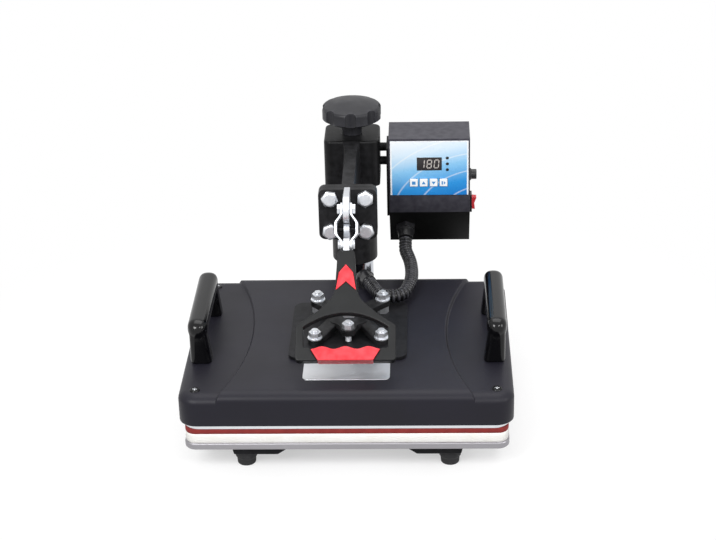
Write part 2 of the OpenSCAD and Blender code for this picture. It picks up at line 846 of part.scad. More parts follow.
module guide_arm() {
    inner = pivot_y + guide_r - 2;
    color("#1c1c1e") placed()
        difference() {
            union() {
                translate([0, pivot_y, guide_z]) cylinder(r = guide_r, h = guide_len);
                side_solid(-guide_web / 2, guide_web / 2)
                    polygon([
                        [inner, guide_z], [bracket_y - 10, guide_z], [bracket_y, guide_top],
                        [bracket_y, pivot_z - 23], [bracket_y - 10, pivot_z - 23],
                        [bracket_y - 13, guide_top + 12], [inner + 6, guide_top - 1], [inner, guide_top - 1]
                    ]);
            }
            translate([0, pivot_y, guide_z - 1]) cylinder(r = guide_bore, h = guide_len + 2);
        }
}

module guide_bush() {
    color("#a8843c") placed()
        translate([0, pivot_y, guide_z])
            difference() {
                cylinder(r = guide_bore - seat, h = guide_len);
                translate([0, 0, -1]) cylinder(r = spindle_r + fit, h = guide_len + 2);
            }
}

// Control box

// Side outline of the box in Y and Z, drawn in by the wall
module box_2d(wall) {
    lean = wall * undercut / undercut_h;
    polygon([
        [box_front + wall, box_top - wall], [box_back - wall, box_top - wall], [box_back - wall, box_z + wall],
        [box_front + undercut + wall - lean, box_z + wall], [box_front + wall, box_z + undercut_h + lean / 2]
    ]);
}

module box_bracket() {
    color("#2a2a2d") placed()
        union() {
            translate([box_x - carrier_t, box_front + carrier_in, box_top - carrier_top - carrier_h])
                cube([carrier_t, box_d - 2 * carrier_in, carrier_h]);
            for (drop = [carrier_stud_top, carrier_stud_top + carrier_stud_pitch])
                translate([0, post_y, housing_top - drop]) rod_x(carrier_stud_r, housing_w / 2, box_x - carrier_t / 2);
        }
}

module box_shell() {
    color("#35343a") placed()
        difference() {
            side_solid(box_x, box_right) box_2d(0);
            side_solid(box_x + box_wall, box_right - box_wall) box_2d(box_wall);
            front_solid(box_front - 1, box_front + box_wall + 1)
                translate([box_mid, panel_z - panel_h / 2])
                    square([panel_w - 2 * panel_land, panel_h - 2 * panel_land], center = true);
            at_rocker() translate([-box_wall - 1, -rocker_w / 2, -rocker_h / 2]) cube([box_wall + 2, rocker_w, rocker_h]);
            translate(gland_seat) along(gland_dir) translate([0, 0, -4 * box_wall]) cylinder(r = hose_bore_r, h = 5 * box_wall);
        }
}

// Turns +Z to a direction
module along(direction) {
    flat = norm([direction[0], direction[1]]);
    rotate([0, atan2(flat, direction[2]), atan2(direction[1], direction[0])]) children();
}

// Place of the rocker's pivot on the right side of the box
module at_rocker() translate([box_right, box_front + side_back, box_z + rocker_up]) children();

// Middle of the display on the panel's front, in X and Z
display_mid = [box_mid + display_x, panel_z - display_z];

// Middle of a button on the panel, in X and Z
function button_mid(i) = [box_mid + button_x + (i - 2.5) * button_pitch, panel_z - button_z];

// Middle of an indicator lens on the panel, in X and Z
function lens_mid(i) = [box_mid + lens_x, panel_z - display_z + i * lens_pitch];

module control_panel() {
    color("#8fc3ea") placed()
        front_solid(box_front - panel_t, box_front)
            difference() {
                translate([box_mid, panel_z - panel_h / 2]) square([panel_w, panel_h], center = true);
                translate(display_mid) square([display_w, display_h], center = true);
                for (i = [1:4])
                    translate(button_mid(i)) square(button_w + 2 * room, center = true);
                for (i = [-1:1])
                    translate(lens_mid(i)) circle(lens_r + fit);
            }
}

module display_window() {
    color("#1a1416") placed()
        front_solid(box_front - panel_t, board_y)
            translate(display_mid) square([display_w - 2 * seat, display_h - 2 * seat], center = true);
}

module indicator_lenses() {
    color("#20242a") placed()
        for (i = [-1:1])
            translate([lens_mid(i)[0], 0, lens_mid(i)[1]]) {
                rod_y(lens_r, box_front - panel_t - 0.5, board_y);
            }
}

module control_board() {
    board_w = panel_w - 2 * panel_land - 6;
    board_h = panel_h - 2 * panel_land - 4;
    board_t = 1.6;
    color("#2d6b3f") placed()
        translate([box_mid, 0, panel_z - panel_h / 2]) {
            front_solid(board_y, board_y + board_t) square([board_w, board_h], center = true);
            for (x = [-1, 1], z = [-1, 1])
                translate([x * (board_w / 2 - 4), 0, z * (board_h / 2 - 4)]) rod_y(3, box_front, board_y + 0.5);
        }
}

module fuse_holder() {
    color("#101012") placed()
        translate([box_right, box_front + side_back, box_z + fuse_up]) {
            rod_x(fuse_r + 1.5, 0, 2);
            rod_x(fuse_r, 0, fuse_len);
        }
}

module rocker_bezel() {
    lip = 2.5;
    color("#101012") placed()
        at_rocker()
            difference() {
                translate([0, -rocker_w / 2 - lip, -rocker_h / 2 - lip]) cube([bezel_t, rocker_w + 2 * lip, rocker_h + 2 * lip]);
                translate([-1, -rocker_w / 2, -rocker_h / 2]) cube([bezel_t + 2, rocker_w, rocker_h]);
            }
}

module power_rocker() {
    half = rocker_h / 2 - 1.6;
    color("#d6222a") placed()
        at_rocker() {
            rotate([0, rocker_turn / 2, 0])
                front_solid(-rocker_w / 2 + 0.2, rocker_w / 2 - 0.2)
                    polygon([[-2, -half], [-2, half], [rocker_out, half], [rocker_out - 2, 0], [rocker_out, -half]]);
            rod_y(trunnion_r, -rocker_w / 2 + 0.05, rocker_w / 2 - 0.05);
        }
}

module button(i) {
    color("#eef2f5") placed()
        translate([button_mid(i)[0], 0, button_mid(i)[1]])
            front_solid(box_front - panel_t - button_proud, board_y - button_travel - 0.15)
                square(button_w, center = true);
}

module button_1() button(1);

module button_2() button(2);

module button_3() button(3);

module button_4() button(4);

// Hose and its glands

module box_gland() {
    color("#121214") placed()
        translate(gland_seat) along(gland_dir)
            difference() {
                union() {
                    cylinder(d = 3.2 * hose_r, h = 6, $fn = 6);
                    cylinder(r1 = hose_r + 2.5, r2 = hose_r + 1, h = gland_len);
                }
                translate([0, 0, -1]) cylinder(r = hose_bore_r, h = gland_len + 2);
            }
}

module cover_gland() {
    color("#121214") placed()
        translate([cover_gland_x, cover_gland_y, cover_top])
            difference() {
                union() {
                    cylinder(r = hose_r + 2.5, h = nipple_z + 4);
                    translate([0, 0, nipple_z + 4]) cylinder(r1 = hose_r + 2.5, r2 = hose_r - 1.5, h = 4);
                    translate([0, 0, nipple_z]) along(nipple_dir) cylinder(r = hose_r + 1, h = nipple_len);
                }
                translate([0, 0, nipple_z]) along(nipple_dir) cylinder(r = hose_bore_r, h = nipple_len + 1);
            }
}

// Point of a smooth curve through the list, from point i to point i + 1
function curve_point(pts, i, t) =
    let (
        a = pts[max(i - 1, 0)],
        b = pts[i],
        c = pts[i + 1],
        d = pts[min(i + 2, len(pts) - 1)]
    )
    0.5 * (2 * b + (c - a) * t + (2 * a - 5 * b + 4 * c - d) * t * t + (3 * b - 3 * c + d - a) * t * t * t);

// Points along the whole curve, a fixed number for each span
function curve_points(pts, steps) = concat(
    [for (i = [0:len(pts) - 2], k = [0:steps - 1]) curve_point(pts, i, k / steps)],
    [pts[len(pts) - 1]]
);

// Distance along a list of points to each of them
function run_lengths(pts, i = 0, sum = 0) =
    i == len(pts) - 1 ? [sum] : concat([sum], run_lengths(pts, i + 1, sum + norm(pts[i + 1] - pts[i])));

// Point at a distance along a list of points
function at_length(pts, runs, s, i = 0) =
    i >= len(pts) - 2 || runs[i + 1] >= s
    ? pts[i] + (pts[i + 1] - pts[i]) * min(1, (s - runs[i]) / (runs[i + 1] - runs[i]))
    : at_length(pts, runs, s, i + 1);

function unit(v) = v / norm(v);

// Side direction of each ring, carried along the curve without twist
function ring_sides(dirs, side, i = 0) =
    i == len(dirs) ? [] :
    let (next = unit(side - dirs[i] * (side * dirs[i])))
    concat([next], ring_sides(dirs, next, i + 1));

module hose() {
    sides = 8;
    fine = curve_points(hose_points, 12);
    runs = run_lengths(fine);
    total = runs[len(runs) - 1];
    ribs = floor(total / rib_pitch);
    rings = 2 * ribs + 1;
    centres = [for (k = [0:rings - 1]) at_length(fine, runs, total * k / (rings - 1))];
    dirs = [for (k = [0:rings - 1]) unit(centres[min(k + 1, rings - 1)] - centres[max(k - 1, 0)])];
    lefts = ring_sides(dirs, [1, 0, 0]);
    function ring(k, r) = [
        for (j = [0:sides - 1])
            let (turn = 360 * j / sides)
            centres[k] + r * (cos(turn) * lefts[k] + sin(turn) * cross(dirs[k], lefts[k]))
    ];
    outer = [for (k = [0:rings - 1]) each ring(k, hose_r - (k % 2 == 0 ? rib_d : 0))];
    inner = [for (k = [0:rings - 1]) each ring(k, hose_bore_r)];
    count = rings * sides;
    last = (rings - 1) * sides;
    function quad(a, b, c, d) = [[a, b, c], [a, c, d]];
    walls = [
        for (k = [0:rings - 2], j = [0:sides - 1])
            let (a = k * sides + j, b = k * sides + (j + 1) % sides)
            each concat(
                quad(a, a + sides, b + sides, b),
                quad(count + a, count + b, count + b + sides, count + a + sides)
            )
    ];
    ends = [
        for (j = [0:sides - 1])
            let (b = (j + 1) % sides)
            each concat(
                quad(j, b, count + b, count + j),
                quad(last + b, last + j, count + last + j, count + last + b)
            )
    ];
    echo(hose_length = total, ribs = ribs);
    color("#161618") placed() polyhedron(points = concat(outer, inner), faces = concat(walls, ends));
}

// Carriage and heat platen

module spindle() {
    color("#c4c7cc") placed()
        translate([0, pivot_y, 0])
            difference() {
                union() {
                    translate([0, 0, mount_top + 2]) cylinder(r = spindle_r, h = clevis_z + 1 - mount_top - 2);
                    translate([0, 0, mount_top + 2]) cylinder(r = spindle_r + 3, h = spider_gap - 2);
                    translate([0, 0, clevis_z]) cylinder(r = ear_in + ear_t + 2, h = clevis_base_t);
                    for (side = [-1, 1])
                        translate([side * (ear_in + ear_t / 2), 0, 0])
                            side_solid(-ear_t / 2, ear_t / 2) {
                                translate([0, low_pin_z]) circle(ear_r);
                                translate([-8, clevis_z + 1]) square([16, low_pin_z - clevis_z - 1]);
                            }
                }
                translate([0, 0, low_pin_z]) rod_x(low_pin_r + link_play, -30, 30);
            }
}

module spindle_nut() {
    color("#d6d8dc") placed()
        translate([0, pivot_y, spider_top])
            difference() {
                cylinder(d = 3.2 * spindle_r, h = nut_h, $fn = 6);
                translate([0, 0, -1]) cylinder(r = spindle_r + seat, h = nut_h + 2);
            }
}

// Places of the four studs round the spindle
module at_studs() {
    for (x = [-1, 1], y = [-1, 1])
        translate([x * stud_reach, pivot_y + y * stud_reach, 0]) children();
}

// Outline of the spider's middle: the hub, the arms to the rear studs and the lobe of the levelling screw
module spider_2d() {
    lobe_y = pivot_y - level_reach;
    shoulder = spider_hub_r + 8;
    translate([0, pivot_y]) circle(spider_hub_r);
    for (x = [-1, 1])
        hull() {
            translate([0, pivot_y]) circle(spider_end_r, $fn = hull_fn);
            translate([x * stud_reach, pivot_y + stud_reach]) circle(spider_end_r, $fn = hull_fn);
        }
    difference() {
        polygon([
            [-shoulder, pivot_y], [shoulder, pivot_y], [shoulder, pivot_y - spider_hub_r - 2],
            [spider_end_r, lobe_y], [-spider_end_r, lobe_y], [-shoulder, pivot_y - spider_hub_r - 2]
        ]);
        for (x = [-1, 1])
            translate([x * (shoulder + 1), lobe_y]) circle(shoulder + 1 - spider_end_r);
    }
    translate([0, lobe_y]) circle(spider_end_r);
}

module spider() {
    color("#1f1f22") placed()
        difference() {
            union() {
                translate([0, 0, spider_z]) linear_extrude(spider_t) spider_2d();
                for (x = [-1, 1])
                    hull() {
                        translate([x * spider_hub_r, pivot_y - spider_end_r, spider_z])
                            cylinder(r = spider_end_r, h = spider_t, $fn = hull_fn);
                        translate([x * stud_reach, pivot_y - stud_reach, mount_top])
                            cylinder(r = spider_end_r, h = spider_pad_t, $fn = hull_fn);
                    }
            }
            translate([0, pivot_y, mount_top - 1]) cylinder(r = spindle_r + seat, h = spider_top - mount_top + 2);
            at_studs() translate([0, 0, mount_top - 1]) cylinder(r = stud_r + seat, h = spider_top - mount_top + 2);
            for (x = [-1, 1])
                translate([x * stud_reach, pivot_y - stud_reach, mount_top + spider_pad_t])
                    cylinder(r = spider_end_r + seat, h = spider_top - mount_top);
            translate([0, pivot_y - level_reach, spider_z - 1]) cylinder(r = level_r + seat, h = spider_t + 2);
        }
}

module spider_studs() {
    washer = 1.5;
    color("#d6d8dc") placed()
        for (x = [-1, 1], y = [-1, 1]) {
            seat_z = y > 0 ? spider_top : mount_top + spider_pad_t;
            translate([x * stud_reach, pivot_y + y * stud_reach, 0]) {
                translate([0, 0, heat_top]) cylinder(r = stud_r, h = seat_z + washer + nut_h + 3 - heat_top);
                translate([0, 0, seat_z]) cylinder(r = spider_end_r, h = washer);
                translate([0, 0, seat_z + washer]) cylinder(d = nut_w, h = nut_h, $fn = 6);
                if (y > 0) translate([0, 0, mount_top]) cylinder(d = nut_w, h = spider_gap, $fn = 6);
            }
        }
}

module levelling_screw() {
    color("#d6d8dc") placed()
        translate([0, pivot_y - level_reach, 0]) {
            translate([0, 0, mount_top]) cylinder(r = level_r, h = spider_top + nut_h + 3 - mount_top);
            translate([0, 0, spider_top]) cylinder(d = nut_w, h = nut_h, $fn = 6);
        }
}

module mounting_plate() {
    color("#2a2a2d") placed()
        difference() {
            plate(mount_w, mount_d, mount_corner, cover_top, mount_top);
            at_studs() translate([0, 0, cover_top - 1]) cylinder(r = stud_r + fit, h = mount_t + 2);
        }
}

// Places of the screws that hold the cover to the heat plate
module at_cover_screws() {
    for (x = [-1, 1], y = [-1, 1])
        translate([x * (cover_w / 2 - cover_screw_in), y * (cover_d / 2 - cover_screw_in), 0]) children();
}

// The cover's outer form, or its inner one when it is drawn in by the wall
module cover_form(wall) {
    half = cover_d / 2;
    bulge = waist_end - waist_half;
    step_r = (half * half + bulge * bulge) / (2 * bulge);
    w = cover_w - 2 * wall;
    d = cover_d - 2 * wall;
    r = cover_corner - wall;
    f = cover_fillet - wall;
    soft_box(w, d, cover_z, cover_side_top - wall, r, f);
    difference() {
        soft_box(w, d, cover_z, cover_top - wall, r, f);
        for (side = [-1, 1])
            translate([side * (waist_half + step_r - wall), 0, cover_z - 1]) cylinder(r = step_r, h = cover_h + cover_rise + 2);
    }
}

module cover() {
    boss_r = cover_screw_r + 4;
    color("#2e2e33") placed()
        difference() {
            union() {
                difference() {
                    cover_form(0);
                    difference() {
                        cover_form(cover_wall);
                        at_cover_screws() translate([0, 0, heat_top]) cylinder(r = boss_r, h = cover_h);
                    }
                    translate([0, 0, cover_z - 1]) linear_extrude(heat_top - cover_z + 1)
                        plate_2d(cover_w - 2 * cover_wall, cover_d - 2 * cover_wall, cover_corner - cover_wall);
                }
            }
            at_cover_screws() translate([0, 0, heat_top - 1]) cylinder(r = cover_screw_r + fit, h = cover_h);
            at_studs() translate([0, 0, heat_top]) cylinder(r = stud_r + room, h = cover_h);
            translate([cover_gland_x, cover_gland_y, heat_top]) cylinder(r = hose_bore_r, h = cover_h);
        }
}

module cover_screws() {
    color("#0e0e10") placed()
        at_cover_screws() {
            translate([0, 0, heat_top]) cylinder(r = cover_screw_r, h = cover_side_top - heat_top);
            translate([0, 0, cover_side_top]) cylinder(r1 = cover_screw_head, r2 = cover_screw_head - 1, h = 1.6);
        }
}

module heat_plate() color("#c8cace") placed() plate(platen_w, platen_d, heat_corner, heat_z, heat_top);

module insulation() {
    color("#d9d2be") placed()
        translate([0, 0, element_top])
            difference() {
                linear_extrude(insulation_t)
                    square([platen_w - 2 * insulation_in, platen_d - 2 * insulation_in], center = true);
                at_studs() translate([0, 0, -1]) cylinder(r = stud_r + room, h = insulation_t + 2);
            }
}

module heating_element() {
    element_half_w = platen_w / 2 - element_in;
    element_half_d = platen_d / 2 - element_in;
    run_y = element_half_d - element_bend;
    color("#8d8f94") placed()
        translate([0, 0, heat_top + element_r]) {
            for (side = [-1, 1]) {
                translate([side * element_half_w, 0, 0]) rod_y(element_r, -run_y, element_half_d);
                translate([side * (element_half_w - element_bend), -run_y, 0])
                    rotate(side > 0 ? 270 : 180) rotate_extrude(angle = 90)
                        translate([element_bend, 0]) circle(element_r);
            }
            translate([0, -element_half_d, 0])
                rod_x(element_r, element_bend - element_half_w, element_half_w - element_bend);
        }
}

module thermocouple() {
    color("#b9bcc2") placed()
        translate([0, 40, heat_top + probe_r]) rod_x(probe_r, -probe_len / 2, probe_len / 2);
}

module handle() {
    bar_z = cover_side_top + handle_rise;
    half = handle_len / 2;
    side = handle_r - handle_end_r;
    translate([0, 0, bar_z])
        hull()
            for (x = [-side, side], y = [-half + handle_end_r, half - handle_end_r], z = [-side, side])
                translate([x, y, z]) sphere(handle_end_r, $fn = 24);
    for (end = [-1, 1])
        translate([0, end * (half - handle_leg_in), 0])
            hull() {
                translate([0, 0, bar_z - 1]) linear_extrude(1) plate_2d(handle_leg_w, handle_leg_d - 3, 6);
                translate([-handle_spread / 2, 0, cover_side_top]) linear_extrude(2)
                    plate_2d(handle_leg_w + handle_spread, handle_leg_d, 6);
            }
}

module handle_left() color("#121214") placed() translate([-handle_x, 0, 0]) mirror([1, 0, 0]) handle();

module handle_right() color("#121214") placed() translate([handle_x, 0, 0]) handle();

// Lever

// Puts a piece in the handle's frame: down the handle is -Y and away from the cover is +Z
module on_handle() translate([0, bolt_y, bolt_z]) rotate([handle_angle, 0, 0]) children();

// Outer outline of the lever: the neck, the hollow shoulders and the straight sides
module loop_2d() {
    steps = 10;
    spread = loop_half - fork_half;
    drop = shoulder_reach - fork_reach;
    slope = [for (k = [0:steps]) [fork_half + spread * k / steps, -fork_reach - drop * pow(k / steps, 0.67)]];
    offset(loop_corner) offset(delta = -loop_corner)
        polygon(concat(
            [[-neck_half, -neck_reach], [neck_half, -neck_reach]],
            slope,
            [[loop_half, -handle_reach], [-loop_half, -handle_reach]],
            [for (k = [steps:-1:0]) [-slope[k].x, slope[k].y]]
        ));
}

// Opening of the loop under its arched top, down to the finger grip
module opening_2d() {
    steps = 24;
    offset(loop_corner / 2) offset(delta = -loop_corner / 2)
        polygon(concat(
            [for (k = [0:steps]) let (t = 2 * k / steps - 1) [t * open_half, -arch_reach - arch_fall * t * t]],
            [[open_half, -grip_reach], [-open_half, -grip_reach]]
        ));
}

// Outline of the red insert in the neck, let out by a clearance
module insert_2d(grow) {
    tip = -insert_reach + grow;
    end = -insert_reach - insert_len - grow;
    notch = end + insert_len * 0.34;
    polygon([
        [0, tip], [8.3 + grow, tip - 10], [12 + grow, end], [0, notch], [-12 - grow, end], [-8.3 - grow, tip - 10]
    ]);
}

// Outline of the finger grip let out by a clearance, with waves along its upper edge
module grip_2d(grow) {
    steps = 12 * grip_waves;
    top_half = grip_half + grow;
    end_half = grip_half - grip_taper + grow;
    polygon(concat(
        [for (k = [0:steps])
            [-top_half + 2 * top_half * k / steps, -grip_reach - grip_wave_h * cos(360 * grip_waves * k / steps)]],
        [[end_half, -handle_reach], [-end_half, -handle_reach]]
    ));
}

// Core of the loop that runs through the finger grip, let out by a clearance
module grip_core(grow) {
    core_h = grip_d - 8;
    core_t = loop_t - 7;
    translate([-open_half, -handle_reach + 3 - grow, -core_t / 2 - grow])
        cube([2 * open_half, core_h + 2 * grow, core_t + 2 * grow]);
}

// Steel blade of the handle, let out by a clearance
module blade(grow) {
    translate([-tongue_t / 2 - grow, -neck_reach - blade_in - grow, -blade_h / 2 - grow])
        cube([tongue_t + 2 * grow, neck_reach + blade_in + blade_over + 2 * grow, blade_h + 2 * grow]);
}

module lever_loop() {
    color("#18181a") placed()
        on_handle()
            difference() {
                union() {
                    translate([0, 0, -loop_t / 2]) linear_extrude(loop_t)
                        difference() {
                            loop_2d();
                            opening_2d();
                            grip_2d(seat);
                            translate([-grip_half - seat, -grip_reach - grip_wave_h])
                                square([2 * (grip_half + seat), grip_wave_h + 1]);
                            translate([-grip_half + grip_taper, -handle_reach - 1])
                                square([2 * (grip_half - grip_taper), 2]);
                        }
                    grip_core(0);
                }
                translate([0, 0, loop_t / 2 - insert_t]) linear_extrude(insert_t + 1) insert_2d(seat);
                blade(seat);
            }
}

module lever_blade() {
    color("#d6d8dc") placed()
        on_handle()
            difference() {
                blade(0);
                rod_x(lever_bolt_r + seat, -tongue_t, tongue_t);
            }
}

module red_insert() {
    color("#f2525a") placed()
        on_handle() translate([0, 0, loop_t / 2 - insert_t]) linear_extrude(insert_t + proud) insert_2d(0);
}

module finger_grip() {
    color("#f2525a") placed()
        on_handle()
            difference() {
                translate([0, 0, -grip_t / 2]) linear_extrude(grip_t) grip_2d(0);
                grip_core(seat);
            }
}

// Outline of both cheeks in Y and Z, round the pivot, the link's pin and the lower bolt
module cheek_2d() {
    hull() {
        translate([pivot_y, pivot_z]) circle(pivot_r + 3, $fn = hull_fn);
        translate([pivot_y, link_pin_z]) circle(link_pin_r + 3, $fn = hull_fn);
        translate([bolt_y, bolt_z]) circle(lever_bolt_r + 3, $fn = hull_fn);
    }
}

// Section of the right cheek in X and Z, with Z along the line from the lower bolt to the pivot
module cheek_section() {
    bow_top = -14;
    bow_low = -bolt_span + 10.5;
    bow = cheek_bow - cheek_in;
    inner = [
        [cheek_in, 14], [cheek_in, bow_top + 6], [cheek_in + bow, bow_top],
        [cheek_in + bow, bow_low], [cheek_in, bow_low - 5], [cheek_in, -bolt_span - 14]
    ];
    polygon(concat(inner, [for (i = [5:-1:0]) inner[i] + [cheek_t, 0]]));
}

module cheek(side) {
    tilt = atan2(bolt_fore, bolt_drop);
    difference() {
        intersection() {
            translate([0, pivot_y, pivot_z]) rotate([-tilt, 0, 0])
                front_solid(-40, 40) mirror([side < 0 ? 1 : 0, 0]) cheek_section();
            side_solid(-30, 30) cheek_2d();
        }
        translate([0, pivot_y, pivot_z]) rod_x(pivot_r + fit, -30, 30);
        translate([0, pivot_y, link_pin_z]) rod_x(link_pin_r + seat, -30, 30);
        translate([0, bolt_y, bolt_z]) rod_x(lever_bolt_r + seat, -30, 30);
    }
}

module cheek_left() color("#d6d8dc") placed() cheek(-1);

module cheek_right() color("#d6d8dc") placed() cheek(1);

module lever_bolt() {
    half = cheek_out;
    color("#d6d8dc") placed()
        translate([0, bolt_y, bolt_z]) {
            rod_x(lever_bolt_r, -half - 3, half + 3);
            for (x = [-half - 3, half]) hex_x(3 * lever_bolt_r, x, x + 3);
        }
}

module link_pin() {
    half = cheek_bow + cheek_t;
    color("#1a1a1c") placed()
        translate([0, pivot_y, link_pin_z]) {
            rod_x(link_pin_r, -half - 1.5, half + 1.5);
            for (x = [-half - 1.5, half]) rod_x(link_pin_r + 1.5, x, x + 1.5);
        }
}

module push_link() {
    pin_half = ear_in + ear_t + 1;
    color("#cfd1d6") placed()
        difference() {
            union() {
                side_solid(-tongue_t / 2, tongue_t / 2)
                    hull() {
                        translate([pivot_y, link_pin_z]) circle(link_eye_r, $fn = hull_fn);
                        translate([pivot_y, low_pin_z]) circle(link_eye_r - 2, $fn = hull_fn);
                    }
                translate([0, pivot_y, low_pin_z]) rod_x(low_pin_r, -pin_half, pin_half);
            }
            translate([0, pivot_y, link_pin_z]) rod_x(link_pin_r + fit, -30, 30);
        }
}

// Assembly

leg_left();
leg_right();
feet();
post_plate();
post();
post_bolts();
post_nut();
lower_platen();
underlay();
silicone_mat();
thrust_washer();
pressure_knob();
pressure_screw();
arm_casting();
post_bushes();
bracket_plate();
bracket_bolts();
toggle_tongue();
pivot_bolt();
guide_arm();
guide_bush();
box_bracket();
box_shell();
control_panel();
display_window();
indicator_lenses();
control_board();
fuse_holder();
rocker_bezel();
power_rocker();
button_1();
button_2();
button_3();
button_4();
box_gland();
hose();
cover_gland();
spindle();
spindle_nut();
spider();
spider_studs();
levelling_screw();
mounting_plate();
cover();
cover_screws();
heat_plate();
insulation();
heating_element();
thermocouple();
handle_left();
handle_right();
cheek_left();
cheek_right();
lever_loop();
lever_blade();
red_insert();
finger_grip();
lever_bolt();
link_pin();
push_link();
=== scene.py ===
"""Looks of a swing-away combo heat press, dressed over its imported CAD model.

Meshes are in metres and in the CAD model's own frame: X to the right, Y to the back, Z up. A size
without MM is in millimetres where its class says so.
"""

from __future__ import annotations

import json
import logging
import math
from dataclasses import dataclass
from enum import Enum
from typing import Any, Callable, ClassVar, Sequence

import bmesh
import bpy
from mathutils import Matrix, Vector

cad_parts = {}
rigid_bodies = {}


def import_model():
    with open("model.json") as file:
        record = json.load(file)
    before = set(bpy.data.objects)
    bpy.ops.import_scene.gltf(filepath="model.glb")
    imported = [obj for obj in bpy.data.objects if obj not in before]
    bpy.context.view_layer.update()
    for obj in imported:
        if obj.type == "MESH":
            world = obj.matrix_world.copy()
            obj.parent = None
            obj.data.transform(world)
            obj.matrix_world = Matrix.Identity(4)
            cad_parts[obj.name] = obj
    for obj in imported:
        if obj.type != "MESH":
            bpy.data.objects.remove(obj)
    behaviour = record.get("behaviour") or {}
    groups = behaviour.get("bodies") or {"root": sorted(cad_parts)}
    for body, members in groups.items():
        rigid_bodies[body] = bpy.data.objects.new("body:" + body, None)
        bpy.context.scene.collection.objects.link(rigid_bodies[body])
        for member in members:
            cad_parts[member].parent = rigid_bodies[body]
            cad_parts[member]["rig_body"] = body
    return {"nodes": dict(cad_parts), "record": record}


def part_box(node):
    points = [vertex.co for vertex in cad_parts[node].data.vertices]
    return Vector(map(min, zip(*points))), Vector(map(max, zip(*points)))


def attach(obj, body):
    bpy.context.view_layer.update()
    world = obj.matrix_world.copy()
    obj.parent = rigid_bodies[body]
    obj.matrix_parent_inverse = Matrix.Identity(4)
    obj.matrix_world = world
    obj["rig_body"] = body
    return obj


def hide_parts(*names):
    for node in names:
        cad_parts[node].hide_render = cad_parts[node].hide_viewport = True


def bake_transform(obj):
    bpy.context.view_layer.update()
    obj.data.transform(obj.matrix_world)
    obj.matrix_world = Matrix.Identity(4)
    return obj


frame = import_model()

LOG = logging.getLogger("heat_press")
MM = 0.001
# The platen's centre lies this far in front of the middle of the whole press
PLATEN_Y = -53.5 * MM
# Points nearer than the first length are joined and sides shorter than the second are dropped, in new
# meshes and in those from CAD
WELD, SLIVER = 1e-6, 1e-7
CAD_WELD, CAD_SLIVER = 2e-6, 1e-6
# CAD triangles that meet at less than this angle become one face
FLAT = math.radians(0.4)
Point = Sequence[float]
Outline = Sequence[tuple[float, float]]


def linear(code: str) -> tuple[float, float, float, float]:
    """Turns an sRGB hex colour into a linear one.

    Args:
        code: The colour as "#rrggbb".

    Returns:
        Red, green, blue and alpha, linear.
    """
    shares = [int(code[i : i + 2], 16) / 255 for i in (1, 3, 5)]
    parts = [c / 12.92 if c <= 0.04045 else ((c + 0.055) / 1.055) ** 2.4 for c in shares]
    return (parts[0], parts[1], parts[2], 1.0)


def add_node(tree: Any, kind: str, values: dict | None = None) -> Any:
    """Adds a node with its settings and the links into it.

    Args:
        tree: The node tree.
        kind: The node's type.
        values: What its properties and inputs get, by name or input number. A socket is linked.

    Returns:
        The new node.
    """
    node = tree.nodes.new(kind)
    for name, value in (values or {}).items():
        if isinstance(value, bpy.types.NodeSocket):
            tree.links.new(value, node.inputs[name])
        elif isinstance(name, int) or name in node.inputs:
            node.inputs[name].default_value = value
        else:
            setattr(node, name, value)
    return node


